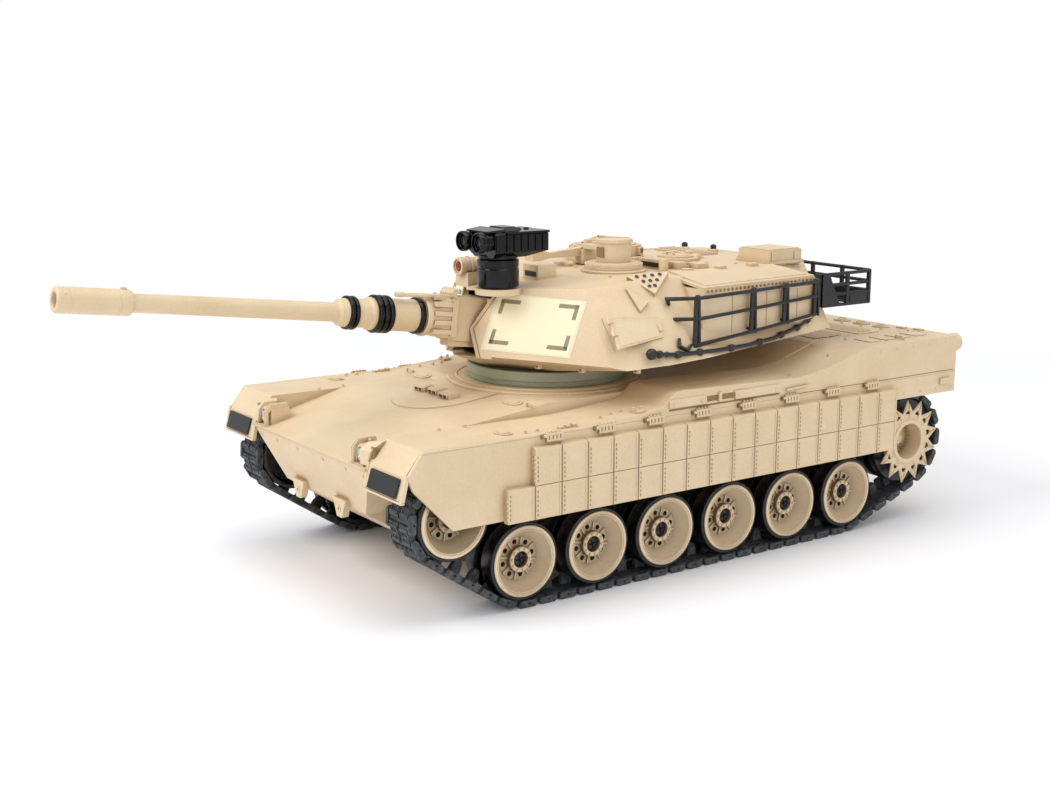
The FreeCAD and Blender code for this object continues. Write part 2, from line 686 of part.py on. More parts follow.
def make_turret_shell():
    """Hollow faceted turret with stowage bins, roof fittings and the gun's slot."""
    slot = size("mantlet_slot")
    trunnion_y, trunnion_z = size("trunnion_y"), size("trunnion_height")
    wall = size("wall")
    shape = turret_block().cut(turret_block(wall))
    extras = mirrored_pair(bin_shape())
    cupola_x, cupola_y, roof = size("commander_x"), size("commander_y"), size("turret_roof")
    extras += [
        Part.makeCylinder(size("cupola_radius"), size("cupola_height") + 1,
                          Vector(cupola_x, cupola_y, roof - 1)),
        Part.makeCylinder(16, 5.5, Vector(24, -12, roof - 1)),
        Part.makeCylinder(9.4, 18.5, Vector(24, -12, roof - 1)),
        Part.makeCylinder(size("loader_ring_radius"), size("loader_ring_height") + 1,
                          Vector(size("loader_x"), size("loader_y"), roof - 1)),
        Part.makeBox(25, 26, 8.5, Vector(25, 80, roof - 1)),
        Part.makeBox(14, 12, 8, Vector(3, -58, roof - 3)),
        Part.makeCylinder(4.6, 13, Vector(-9, -92, 158), Vector(0, 1, 0)),
        Part.makeBox(12, 14, 8, Vector(-15, -90, 147)),
        Part.makeCylinder(size("pedestal_radius") + 1.2, 3.2,
                          Vector(size("sight_x"), size("sight_y"), size("sight_floor") - 4))]
    shape = shape.multiFuse(extras)
    shape = shape.cut(turret_block(wall).common(Part.makeBox(260, 300, 80, Vector(-130, -130, 90))))
    slot_low, slot_high = 112.0, 146.3
    depth = 130 + trunnion_y + 16
    opening = Part.makeBox(2 * slot, depth, slot_high - slot_low, Vector(-slot, -130, slot_low))
    shape = shape.cut(opening)
    ring = Part.makeCylinder(size("spigot_radius") - 4, 12,
                             Vector(0, size("ring_y"), size("turret_floor") - 6))
    shape = shape.cut(ring)
    ear_width, ear_depth, ear_height, behind_pin = 5, 34, 16, 7
    ears = [Part.makeBox(ear_width, ear_depth, ear_height,
                         Vector(x, trunnion_y + behind_pin - ear_depth, trunnion_z - ear_height / 2))
            for x in (slot, -slot - ear_width)]
    ears = [ear.common(turret_block()) for ear in ears]
    trunnion = Part.makeCylinder(size("trunnion_radius") + size("running_gap"), 60,
                                 Vector(-30, trunnion_y, trunnion_z), Vector(1, 0, 0))
    shape = shape.multiFuse(ears).cut(trunnion).removeSplitter()
    solid_feature("turret_shell", shape)


def make_turret_base():
    """Grey-green turntable disc with a spigot that runs in the deck's collar."""
    body = new_body("turret_base")
    pad_circle(body, "XY_Plane", "Sizes.base_radius", "Sizes.collar_height + 0.1",
               "Sizes.turret_floor - Sizes.collar_height - 0.2")
    pad_circle(body, "XY_Plane", "Sizes.spigot_radius", "Sizes.collar_height - 8", "8.2")
    pocket_circle(body, "XY_Plane", "Sizes.spigot_radius - 8", "80", "40")
    place(body, y="Sizes.ring_y")


def make_racks():
    """Black tube racks: one down each side of the turret, and the basket at its rear."""
    stations = [(-10.0, 92.0, 121.0, 145.5), (31.0, 90.5, 124.5, 146.3), (56.0, 89.5, 127.0, 146.9),
                (80.0, 88.5, 129.5, 147.5)]
    tube = 0.95
    low = [Vector(x, y, z0) for y, x, z0, _ in stations]
    high = [Vector(x, y, z1) for y, x, _, z1 in stations]
    middle = [a * 0.3 + b * 0.7 for a, b in zip(low, high)]
    inward = Vector(-17, -8, -1.5)
    parts = [bent_rod([high[0] + inward] + high, tube),
             bent_rod([middle[0] + inward] + middle, tube),
             bent_rod(low, tube)]
    parts += [rod(a, b, 1.4) for a, b in zip(low, high)]
    parts += [rod(low[0], low[0] + Vector(-12, 3, 0), tube), rod(low[-1], low[-1] + Vector(-12, 0, 0), tube),
              rod(high[-1], high[-1] + Vector(-14, 0, 0), tube)]
    rack = parts[0].multiFuse(parts[1:]).removeSplitter()
    bin_body = bin_shape().fuse(turret_block())
    solid_feature("side_racks", Part.makeCompound(mirrored_pair(rack.cut(bin_body))))
    make_rear_basket(tube)


def make_rear_basket(tube):
    half, front, rear = 72.0, 104.0, 143.0
    corners = [(-half, front), (-half, rear), (half, rear), (half, front)]
    parts = []
    for height in (129.8, 136.0, 141.5, 148.0):
        parts.append(bent_rod([Vector(x, y, height) for x, y in corners], tube))
    for x in (-half, -35.0, 0.0, 35.0, half):
        parts.append(rod(Vector(x, rear, 129.8), Vector(x, rear, 148.0), 1.2))
        parts.append(rod(Vector(x, rear, 129.8), Vector(x, 100.0, 129.8), tube))
    for x in (-half, half):
        parts.append(rod(Vector(x, 124, 129.8), Vector(x, 124, 148.0), 1.2))
        parts.append(rod(Vector(x, front, 129.8), Vector(x, front, 148.0), 1.2))
        inward = Vector(math.copysign(30, -x), 0, 0)
        parts.append(rod(Vector(x, front, 141.5), Vector(x, front, 141.5) + inward, tube))
    basket = parts[0].multiFuse(parts[1:])
    solid_feature("rear_basket", basket.cut(turret_block()).removeSplitter())


def make_cables_and_launchers():
    """Tow cables along the turret's lower sides, and the smoke grenade launchers."""
    slope, narrowing, clear_of_side, eye_radius = 0.8, 0.19, 2.2, 2.3
    path = []
    for y, z in ((-41, 119.5), (-25, 118.0), (2, 117.6), (28, 117.2), (52, 118.0), (78, 121.0), (96, 125.0)):
        x = size("turret_half_width") - slope * (z - size("turret_edge")) - max(0.0, y) * narrowing
        path.append(Vector(x + clear_of_side, y, z))
    cable = bent_rod(path, 1.0).fuse(Part.makeSphere(eye_radius, path[0]))
    cable = cable.cut(turret_block()).cut(bin_shape())
    solid_feature("tow_cables", Part.makeCompound(mirrored_pair(cable)))
    corners = [Vector(60, -32, 155.5), Vector(67, -9, 157), Vector(73, -23, 147)]
    launcher = Part.Face(Part.makePolygon(corners + corners[:1])).extrude(Vector(-7, 6, -9))
    launcher = launcher.cut(turret_block()).cut(bin_shape())
    solid_feature("smoke_launchers", Part.makeCompound(mirrored_pair(launcher)))


def make_turret_insides():
    """Pedestal of the twin sight and the traverse motor on the turntable."""
    base = new_body("sight_base")
    pad_circle(base, "XY_Plane", "Sizes.pedestal_radius", "Sizes.sight_floor + 0.2",
               "Sizes.sight_deck - Sizes.sight_floor - 0.3")
    pocket_circle(base, "XY_Plane", "3 + Sizes.running_gap", "Sizes.sight_deck - 8", "12")
    place(base, "Sizes.sight_x", "Sizes.sight_y")
    motor = new_body("traverse_motor")
    pad_circle(motor, "XY_Plane", "8", "111", "22", "18", "-22")
    pad_circle(motor, "XY_Plane", "2.5", "104.2", "7", "18", "-22")


def make_hatch(label, x, y, floor):
    """Round hatch lid with a raised middle and a hinge knuckle on its rear edge."""
    body = new_body(label)
    pad_circle(body, "XY_Plane", "Sizes.hatch_radius", "0", "2")
    pad_circle(body, "XY_Plane", "Sizes.hatch_radius - 3", "0", "3.2")
    pad_polygon(body, "XY_Plane", box_points("-4", "4", "Sizes.hatch_radius - 2", "Sizes.hatch_radius + 3"),
                "0", "2 * Sizes.knuckle_radius")
    pad_circle(body, "YZ_Plane", "Sizes.knuckle_radius", "-4", "8", "Sizes.hatch_radius + 3",
               "Sizes.knuckle_radius")
    place(body, x, y, floor)


def make_sight_unit():
    """Black twin-lens sight: a box body, two lens tubes and a spigot in the pedestal."""
    body = new_body("sight_unit")
    pad_circle(body, "XY_Plane", "3", "Sizes.sight_deck - 6", "8")
    pad_polygon(body, "XY_Plane", box_points("-13", "13", "-10", "24"), "Sizes.sight_deck + 1", "13.5")
    pad_polygon(body, "XY_Plane", box_points("-9", "9", "-6", "12"), "Sizes.sight_deck + 13", "4")
    for side in (LEFT, RIGHT):
        pad_circle(body, "XZ_Plane", "5.5", "9", "9.5", "%d * 8.6" % side, "Sizes.sight_deck + 10.6")
    pad_circle(body, "XY_Plane", "9.5", "Sizes.sight_deck + 0.1", "3")
    place(body, "Sizes.sight_x", "Sizes.sight_y")


def make_turret():
    make_turret_shell()
    make_turret_base()
    make_racks()
    make_cables_and_launchers()
    make_turret_insides()
    make_sight_unit()
    make_hatch("commander_hatch", "Sizes.commander_x", "Sizes.commander_y",
               "Sizes.turret_roof + Sizes.cupola_height + 0.1")
    make_hatch("loader_hatch", "Sizes.loader_x", "Sizes.loader_y",
               "Sizes.turret_roof + Sizes.loader_ring_height + 0.1")


# ---------------------------------------------------------------- gun

def aim_gun(body):
    """Gun pieces are drawn along X from the trunnion; this points them forwards and up."""
    forwards = Rotation(Vector(0, 0, 1), -90)
    raised = Rotation(Vector(1, 0, 0), -size("gun_elevation"))
    body.Placement = FreeCAD.Placement(Vector(0, size("trunnion_y"), size("trunnion_height")),
                                       raised.multiply(forwards))


def make_gun():
    mantlet = new_body("mantlet")
    half = "Sizes.mantlet_half_width"
    pad_polygon(mantlet, "XY_Plane", box_points("0", "48", "-" + half, half), "-12", "24")
    pad_circle(mantlet, "XZ_Plane", "13.5", "-" + half, "2 * " + half)
    pad_circle(mantlet, "XZ_Plane", "Sizes.trunnion_radius", "-20", "40")
    pad_circle(mantlet, "YZ_Plane", "10.6", "46", "7.5")
    pocket_circle(mantlet, "YZ_Plane", "Sizes.sleeve_radius", "32", "30")
    aim_gun(mantlet)

    barrel = new_body("gun_barrel")
    sleeve, tube, muzzle, bore = ("Sizes.sleeve_radius", "Sizes.tube_radius", "Sizes.muzzle_radius",
                                  "Sizes.bore_radius")
    length = "Sizes.gun_length"
    revolve(barrel, [
        ("32.1", "0"), ("32.1", sleeve), ("78", sleeve), ("78", "7.1"), ("94", "7.1"), ("94", "6.6"),
        ("98", "6.6"), ("98.6", tube + " + 0.4"), (length + " - 38", tube), (length + " - 35", muzzle),
        (length + " - 0.8", muzzle), (length, muzzle + " - Sizes.muzzle_chamfer"), (length, bore),
        (length + " - 40", bore), (length + " - 40", "0")])
    aim_gun(barrel)

    rings = []
    for start, end, inner, outer in ((53.6, 56.4, 8.4, 9.5), (65.0, 67.6, 8.4, 9.6), (68.2, 70.8, 8.4, 9.6),
                                     (71.4, 74.0, 8.4, 9.6), (84.6, 86.7, 7.1, 8.1), (87.3, 89.4, 7.1, 8.1)):
        axis = Vector(1, 0, 0)
        ring = Part.makeCylinder(outer, end - start, Vector(start, 0, 0), axis)
        rings.append(ring.cut(Part.makeCylinder(inner, end - start, Vector(start, 0, 0), axis)))
    aim_gun(solid_feature("barrel_bands", Part.makeCompound(rings)))


# ---------------------------------------------------------------- build and export

def middle_of_length():
    """Y of the middle between the muzzle and the tail lamps."""
    tilt = math.radians(size("gun_elevation"))
    lip = size("muzzle_radius") - size("muzzle_chamfer")
    muzzle = size("trunnion_y") - size("gun_length") * math.cos(tilt) - lip * math.sin(tilt)
    tail = size("hull_rear") + size("tail_lamp_length")
    return (muzzle + tail) / 2


def check_and_export():
    """Stop on any failed object or shape, then write one STEP file for each sub-part."""
    doc.recompute()
    for item in doc.Objects:
        if "Invalid" in item.State or "Error" in item.State:
            raise RuntimeError("failed object: %s of %s" % (item.Name, item.Label))
    for item in pieces:
        if item.Shape.isNull() or not item.Shape.isValid() or not item.Shape.Solids:
            raise RuntimeError("bad shape: " + item.Label)
    os.makedirs("parts", exist_ok=True)
    for item in pieces:
        shape = item.Shape.copy()
        shape.translate(Vector(0, -middle_of_length(), 0))
        shape.exportStep("parts/%s.step" % item.Label)


fill_sheet()
make_running_gear()
make_hull()
make_turret()
make_gun()
check_and_export()
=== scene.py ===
import bisect
import json
import math

import bmesh
import bpy
from mathutils import Matrix, Vector
from mathutils.bvhtree import BVHTree

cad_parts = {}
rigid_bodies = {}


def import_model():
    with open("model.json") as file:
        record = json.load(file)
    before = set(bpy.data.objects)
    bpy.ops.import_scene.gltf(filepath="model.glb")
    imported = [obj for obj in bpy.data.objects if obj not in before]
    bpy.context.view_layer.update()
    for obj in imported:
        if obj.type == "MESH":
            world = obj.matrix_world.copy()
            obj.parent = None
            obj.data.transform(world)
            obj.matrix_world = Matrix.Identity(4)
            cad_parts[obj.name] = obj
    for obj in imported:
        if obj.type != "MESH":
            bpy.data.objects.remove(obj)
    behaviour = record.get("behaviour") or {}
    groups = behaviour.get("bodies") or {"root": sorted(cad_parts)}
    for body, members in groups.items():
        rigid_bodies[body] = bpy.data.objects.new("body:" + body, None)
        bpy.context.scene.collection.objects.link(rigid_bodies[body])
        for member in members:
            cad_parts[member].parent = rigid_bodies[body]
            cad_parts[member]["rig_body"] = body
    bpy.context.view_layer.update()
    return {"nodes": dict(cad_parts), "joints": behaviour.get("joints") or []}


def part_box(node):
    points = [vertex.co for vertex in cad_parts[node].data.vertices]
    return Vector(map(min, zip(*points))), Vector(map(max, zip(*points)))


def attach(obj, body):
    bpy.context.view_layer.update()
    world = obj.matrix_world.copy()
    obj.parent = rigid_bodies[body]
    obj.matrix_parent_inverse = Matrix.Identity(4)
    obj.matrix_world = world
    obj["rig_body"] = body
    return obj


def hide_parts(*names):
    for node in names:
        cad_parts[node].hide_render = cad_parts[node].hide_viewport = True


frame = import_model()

# Looks of a 1:18 radio-controlled battle tank. Forms are drawn in millimetres, +Z up, the gun along
# -Y and the tank's left side at +X, from an origin on the ground under the middle of the hull. That
# is a little ahead of the CAD part's own origin, which lies under the middle of the whole length.

MM = 0.001
SIDES = (("left", 1), ("right", -1))
SHARP_ANGLE = math.radians(32)

# Bevel radii, in millimetres
FINE_EDGE = 0.15
SOFT_EDGE = 0.35

# Places: a profile in YZ raised along X, the right side's mirror, and a mesh drawn about its own zero
ALONG_X = Matrix(((0, 0, 1, 0), (1, 0, 0, 0), (0, 1, 0, 0), (0, 0, 0, 1)))
MIRROR = Matrix.Scale(-1, 4, (1, 0, 0))
OWN_ZERO = Vector((0, 0, 0))


# ---------------------------------------------------------------- frame

def joint_of(name):
    """Where a joint of the record sits, in metres."""
    for joint in frame["joints"]:
        if joint["name"] == name:
            return Vector(joint["pos_m"])
    raise ValueError("no joint named " + name)


# The turret's ring stands 40 mm ahead of the hull's middle, which ties the drawing to the CAD part.
RING_BEHIND = -40.0
TO_CAD = Vector((0, joint_of("turret_traverse").y / MM - RING_BEHIND, 0))


def box_of(node):
    """Lowest and highest corner of a CAD node, in millimetres from the drawing origin."""
    low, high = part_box(node)
    return low / MM - TO_CAD, high / MM - TO_CAD


def middle_of(node):
    low, high = box_of(node)
    return (low + high) / 2


def joint_point(name):
    return joint_of(name) / MM - TO_CAD


def at(point, axis=(0, 0, 1), turn=0.0):
    """A place whose own Z looks along axis, turned about it by an angle."""
    aim = Vector(axis).to_track_quat("Z", "Y").to_matrix().to_4x4()
    return Matrix.Translation(Vector(point)) @ aim @ Matrix.Rotation(turn, 4, "Z")


def plane_place(origin, normal, up=(0, 0, 1)):
    """A place on a sloping face: own X runs level along the face, Y climbs it and Z stands out of it."""
    out = Vector(normal).normalized()
    level = Vector(up).cross(out).normalized()
    climb = out.cross(level)
    turn = Matrix((level, climb, out)).transposed().to_4x4()
    return Matrix.Translation(Vector(origin)) @ turn


def circle(radius, steps, height=0.0):
    return [(radius * math.cos(math.tau * k / steps), radius * math.sin(math.tau * k / steps), height)
            for k in range(steps)]


def turns(count, start=0.0, about=None):
    """Evenly spaced turns about Z, or about a place's Z, from a share of the first step."""
    for k in range(count):
        turn = Matrix.Rotation(math.tau * (k + start) / count, 4, "Z")
        yield about @ turn if about else turn


def rectangle(low_x, high_x, low_y, high_y):
    """The corners of a rectangle, seen from above."""
    return [(low_x, low_y), (high_x, low_y), (high_x, high_y), (low_x, high_y)]


def level(low_x, high_x, low_y, high_y, z):
    """The corners of a level rectangle at a height."""
    return [(x, y, z) for x, y in rectangle(low_x, high_x, low_y, high_y)]


def moved(points, shift):
    return [tuple(Vector(point) + Vector(shift)) for point in points]


# ---------------------------------------------------------------- forms

class Shape:
    """Closed forms gathered into one mesh, in millimetres. Each form carries a paint number."""

    def __init__(self):
        self.form = bmesh.new()

    def add(self, points, faces, paint=0, place=None):
        corners = [self.form.verts.new(place @ Vector(p) if place else Vector(p)) for p in points]
        for face in faces:
            self.form.faces.new([corners[i] for i in face]).material_index = paint

    def loft(self, rings, paint=0, place=None, loop=False):
        """A skin through rings of equally many points, capped at both ends unless it loops."""
        count = len(rings[0])
        points = [point for ring in rings for point in ring]
        faces = []
        for k in range(len(rings) if loop else len(rings) - 1):
            here = k * count
            there = (k + 1) % len(rings) * count
            for i in range(count):
                j = (i + 1) % count
                faces.append((here + i, here + j, there + j, there + i))
        if not loop:
            faces.append(tuple(reversed(range(count))))
            faces.append(tuple(range(len(points) - count, len(points))))
        self.add(points, faces, paint, place)

    def prism(self, outline, low, high, paint=0, place=None):
        """An outline in the place's XY plane, raised from low to high."""
        self.loft([[(x, y, z) for x, y in outline] for z in (low, high)], paint, place)

    def box(self, low, high, paint=0, place=None):
        outline = ((low[0], low[1]), (high[0], low[1]), (high[0], high[1]), (low[0], high[1]))
        self.prism(outline, low[2], high[2], paint, place)

    def block(self, size, paint=0, place=None, taper=1.0):
        """A box standing on the place's origin; its top may be narrower than its foot."""
        x, y, z = size[0] / 2, size[1] / 2, size[2]
        foot = [(-x, -y, 0), (x, -y, 0), (x, y, 0), (-x, y, 0)]
        top = [(a * taper, b * taper, z) for a, b, _ in foot]
        self.loft([foot, top], paint, place)

    def turned(self, profile, steps=48, paint=0, place=None, hollow=False):
        """A lathe form about the place's Z, from (radius, height) points."""
        self.loft([circle(radius, steps, height) for radius, height in profile], paint, place, hollow)

    def disc(self, radius, low, high, paint=0, place=None, steps=32):
        self.turned([(radius, low), (radius, high)], steps, paint, place)

    def rod(self, path, radius, paint=0, sides=10, loop=False):
        """A round bar along a path, mitred at its corners."""
        path = [Vector(point) for point in path]
        last = len(path) - 1
        rings = []
        across = None
        for k, point in enumerate(path):
            before = path[k - 1] if k or loop else point
            after = path[(k + 1) % len(path)] if k < last or loop else point
            coming = (point - before).normalized() if before != point else (after - point).normalized()
            going = (after - point).normalized() if after != point else coming
            along = (coming + going).normalized()
            if across is None:
                across = along.orthogonal()
            across = (across - along * across.dot(along)).normalized()
            other = along.cross(across)
            end = k in (0, last) and not loop
            reach = radius if end else radius / max(0.5, along.dot(going))
            rings.append([point + (across * math.cos(math.tau * i / sides)
                                   + other * math.sin(math.tau * i / sides)) * reach
                          for i in range(sides)])
        self.loft([[tuple(p) for p in ring] for ring in rings], paint, None, loop)

    def dome(self, radius, place, paint=0, steps=10):
        """A rivet head."""
        tall = radius * 0.6
        self.turned([(radius, -0.2), (radius, tall * 0.35), (radius * 0.72, tall * 0.8),
                     (radius * 0.3, tall)], steps, paint, place)

    def nut(self, radius, height, place, paint=0):
        """A hexagonal head with a washer under it."""
        self.disc(radius * 1.25, -0.2, height * 0.25, paint, place, 20)
        self.turned([(radius, 0), (radius, height * 0.85), (radius * 0.85, height)], 6, paint, place)

    def copies(self, places):
        """Repeats everything drawn so far at each place."""
        seed = self.form.copy()
        self.form.clear()
        mesh = bpy.data.meshes.new("seed")
        for place in places:
            seed.to_mesh(mesh)
            mesh.transform(place)
            self.form.from_mesh(mesh)
        bpy.data.meshes.remove(mesh)
        seed.free()

    def take(self, mesh):
        """Adds a finished mesh, drawn about its own zero in metres."""
        self.form.transform(Matrix.Scale(MM, 4))
        self.form.from_mesh(mesh)
        self.form.transform(Matrix.Scale(1 / MM, 4))

    def mesh(self, name, paints, origin=TO_CAD):
        """The mesh in metres; origin is where the drawing's zero goes, in millimetres."""
        bmesh.ops.recalc_face_normals(self.form, faces=self.form.faces)
        made = bpy.data.meshes.new(name)
        self.form.to_mesh(made)
        self.form.free()
        made.transform(Matrix.Scale(MM, 4) @ Matrix.Translation(origin))
        for paint in paints:
            made.materials.append(paint)
        shade(made)
        return made

    def piece(self, name, body, paints, edge=FINE_EDGE, stands_for=(), slot=None):
        """Shown on a body, with rounded edges. The slot argument is not used."""
        return show(name, self.mesh(name, paints), body, edge, stands_for)


def shade(mesh):
    mesh.shade_smooth()
    mesh.set_sharp_from_angle(angle=SHARP_ANGLE)


def round_edges(item, edge):
    if edge:
        bevel = item.modifiers.new("round_edges", "BEVEL")
        bevel.width = edge * MM
        bevel.segments = 2
        bevel.limit_method = "ANGLE"
        bevel.angle_limit = SHARP_ANGLE
        bevel.harden_normals = True
        bevel.use_clamp_overlap = True


def show(name, mesh, body, edge=FINE_EDGE, stands_for=(), place=None):
    """Puts a mesh in the scene, on a CAD body, with rounded edges."""
    item = bpy.data.objects.new(name, mesh)
    bpy.context.scene.collection.objects.link(item)
    if place:
        item.matrix_world = place
    round_edges(item, edge)
    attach(item, body)
    if stands_for:
        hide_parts(*stands_for)
    return item


def carved(mesh, cutter, origin=TO_CAD):
    """The mesh with a Shape cut out of it."""
    body = bpy.data.objects.new("carved", mesh)
    tool = bpy.data.objects.new("cutter", cutter.mesh("cutter", (), origin))
    for item in (body, tool):
        bpy.context.scene.collection.objects.link(item)
    cut = body.modifiers.new("cut", "BOOLEAN")
    cut.operation = "DIFFERENCE"
    cut.solver = "EXACT"
    cut.object = tool
    bpy.context.view_layer.update()
    result = bpy.data.meshes.new_from_object(body.evaluated_get(bpy.context.evaluated_depsgraph_get()))
    result.name = mesh.name
    bpy.data.objects.remove(body)
    bpy.data.objects.remove(tool)
    shade(result)
    return result


def cad_mesh(node, paint):
    """A CAD node's shape with whole flat faces instead of triangles."""
    form = bmesh.new()
    form.from_mesh(frame["nodes"][node].data)
    bmesh.ops.remove_doubles(form, verts=form.verts, dist=0.005 * MM)
    bmesh.ops.dissolve_limit(form, angle_limit=math.radians(0.6), verts=form.verts, edges=form.edges)
    mesh = bpy.data.meshes.new(node)
    form.to_mesh(mesh)
    form.free()
    mesh.materials.clear()
    mesh.materials.append(paint)
    shade(mesh)
    return mesh


def refined(node, paint, edge=SOFT_EDGE):
    """A CAD node's shape with rounded edges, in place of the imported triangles."""
    body = frame["nodes"][node]["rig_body"]
    return show(node + "_shell", cad_mesh(node, paint), body, edge, (node,))


# ---------------------------------------------------------------- paints

def tone(red, green, blue):
    """A colour on screen, 0 to 255, as the linear colour that a shader needs."""
    return tuple((value / 255) ** 2.2 for value in (red, green, blue)) + (1.0,)


class Paint:
    """A node material, built step by step on one Principled shader."""

    def __init__(self, name):
        self.material = bpy.data.materials.new(name)
        self.material.use_nodes = True
        self.tree = self.material.node_tree
        self.shader = self.tree.nodes["Principled BSDF"]
        self.place = self.node("ShaderNodeTexCoord").outputs["Object"]

    def node(self, kind, **inputs):
        made = self.tree.nodes.new(kind)
        for name, value in inputs.items():
            socket = made.inputs[name.replace("_", " ")]
            if isinstance(value, bpy.types.NodeSocket):
                self.tree.links.new(value, socket)
            else:
                socket.default_value = value
        return made

    def noise(self, size, detail=3.0, rough=0.6):
        """Noise with patches of about size millimetres."""
        return self.node("ShaderNodeTexNoise", Vector=self.place, Scale=1 / (size * MM),
                         Detail=detail, Roughness=rough).outputs["Fac"]

    def spread(self, value, low, high, to_low=0.0, to_high=1.0):
        return self.node("ShaderNodeMapRange", Value=value, From_Min=low, From_Max=high,
                         To_Min=to_low, To_Max=to_high).outputs["Result"]

    def mix(self, share, first, second):
        made = self.tree.nodes.new("ShaderNodeMix")
        made.data_type = "RGBA"
        for socket, value in ((made.inputs[0], share), (made.inputs[6], first), (made.inputs[7], second)):
            if isinstance(value, bpy.types.NodeSocket):
                self.tree.links.new(value, socket)
            else:
                socket.default_value = value
        return made.outputs[2]

    def math(self, operation, first, second=0.0):
        made = self.tree.nodes.new("ShaderNodeMath")
        made.operation = operation
        for socket, value in zip(made.inputs, (first, second)):
            if isinstance(value, bpy.types.NodeSocket):
                self.tree.links.new(value, socket)
            else:
                socket.default_value = value
        return made.outputs[0]

    def corner_shade(self, reach):
        """1 in corners that light hardly reaches, 0 on open faces."""
        made = self.node("ShaderNodeAmbientOcclusion", Distance=reach * MM)
        made.samples = 8
        return self.spread(made.outputs["AO"], 0.25, 0.95, 1.0, 0.0)

    def outer_edge_mask(self, radius):
        """1 along outer edges, where the rounded normal leaves the face's own."""
        rounded = self.node("ShaderNodeBevel", Radius=radius * MM)
        rounded.samples = 4
        plain = self.node("ShaderNodeNewGeometry").outputs["Normal"]
        dot = self.tree.nodes.new("ShaderNodeVectorMath")
        dot.operation = "DOT_PRODUCT"
        self.tree.links.new(rounded.outputs["Normal"], dot.inputs[0])
        self.tree.links.new(plain, dot.inputs[1])
        return self.spread(dot.outputs["Value"], 0.75, 0.99, 1.0, 0.0)

    def bump(self, height, depth, before=None):
        made = self.node("ShaderNodeBump", Height=height, Distance=depth * MM, Strength=1.0)
        if before:
            self.tree.links.new(before, made.inputs["Normal"])
        return made.outputs["Normal"]

    def finish(self, colour, roughness, normal=None, **settings):
        pairs = [("Base Color", colour), ("Roughness", roughness)]
        if normal:
            pairs.append(("Normal", normal))
        pairs.extend((name.replace("_", " "), value) for name, value in settings.items())
        for name, value in pairs:
            if isinstance(value, bpy.types.NodeSocket):
                self.tree.links.new(value, self.shader.inputs[name])
            else:
                self.shader.inputs[name].default_value = value
        return self.material


def moulded(name, base, tint, speck_and_shade, wear_and_highlight, rough, grain=0.35, grain_depth=0.012, reach=5.0, shade=0.6):
    """Moulded plastic: a slow change of tint, painted shade in corners, edges paled by wear and a painted
    highlight, and a fine grain.
    """
    paint = Paint(name)
    patches = paint.spread(paint.noise(28.0), 0.35, 0.65)
    colour = paint.mix(patches, base, tint)
    speckle = paint.spread(paint.noise(0.8, 4.0), 0.3, 0.7, 0.0, 0.16)
    colour = paint.mix(speckle, colour, speck_and_shade)
    # Painted shade: corners that the AO node finds dark turn towards the speck and shade colour.
    colour = paint.mix(paint.math("MULTIPLY", paint.corner_shade(reach), shade), colour, speck_and_shade)
    # Paler outer edges: partly wear, partly a painted highlight where edges catch the light.
    colour = paint.mix(paint.math("MULTIPLY", paint.outer_edge_mask(0.35), 0.5), colour, wear_and_highlight)
    smears = paint.spread(paint.noise(6.0, 5.0), 0.3, 0.7, rough - 0.07, rough + 0.07)
    waves = paint.bump(paint.noise(12.0, 2.0), 0.05)
    normal = paint.bump(paint.noise(grain, 2.0, 0.5), grain_depth, waves)
    return paint.finish(colour, smears, normal)


def rubber(name, base, dust, rough=0.62):
    """Dull rubber with paler dust on its raised parts and a pebbled skin."""
    paint = Paint(name)
    patches = paint.spread(paint.noise(3.0, 5.0), 0.4, 0.7, 0.0, 0.55)
    colour = paint.mix(patches, base, dust)
    colour = paint.mix(paint.math("MULTIPLY", paint.outer_edge_mask(0.3), 0.45), colour, dust)
    smears = paint.spread(paint.noise(2.0, 4.0), 0.3, 0.7, rough - 0.1, rough + 0.12)
    normal = paint.bump(paint.noise(0.5, 3.0), 0.04)
    return paint.finish(colour, smears, normal)


def polished(name, base, rough, metal=0.0, scratch=0.12, shine=0.5):
    """A polished surface with faint ripples and hairline scratches in its roughness."""
    paint = Paint(name)
    stretched = paint.node("ShaderNodeMapping", Vector=paint.place)
    stretched.inputs["Scale"].default_value = (1.0, 6.0, 1.0)
    hairs = paint.node("ShaderNodeTexNoise", Vector=stretched.outputs["Vector"],
                       Scale=900.0, Detail=6.0).outputs["Fac"]
    smears = paint.spread(hairs, 0.35, 0.75, rough, rough + scratch)
    tint = paint.mix(paint.spread(paint.noise(5.0), 0.3, 0.7, 0.0, 0.08), base, tone(70, 72, 76))
    normal = paint.bump(paint.noise(7.0, 2.0), 0.03)
    return paint.finish(tint, smears, normal, Metallic=metal, Specular_IOR_Level=shine)


def lens_glass(name, tint):
    """Clear moulded plastic over a pale reflector."""
    paint = Paint(name)
    cells = paint.node("ShaderNodeTexVoronoi", Vector=paint.place, Scale=1 / (0.9 * MM)).outputs["Distance"]
    colour = paint.mix(paint.spread(cells, 0.0, 0.6), tint, tone(255, 255, 255))
    normal = paint.bump(cells, 0.08)
    return paint.finish(colour, paint.spread(paint.noise(2.0), 0.3, 0.7, 0.03, 0.1), normal,
                        Metallic=0.35, Coat_Weight=1.0, Coat_Roughness=0.04)


def decal(name, base, fleck):
    """Printed film: an even colour with faint mottling on a satin surface."""
    paint = Paint(name)
    colour = paint.mix(paint.spread(paint.noise(1.5, 5.0), 0.45, 0.8, 0.0, 0.35), base, fleck)
    normal = paint.bump(paint.noise(0.6, 2.0), 0.01)
    rough = paint.spread(paint.noise(4.0), 0.3, 0.7, 0.42, 0.58)
    return paint.finish(colour, rough, normal)


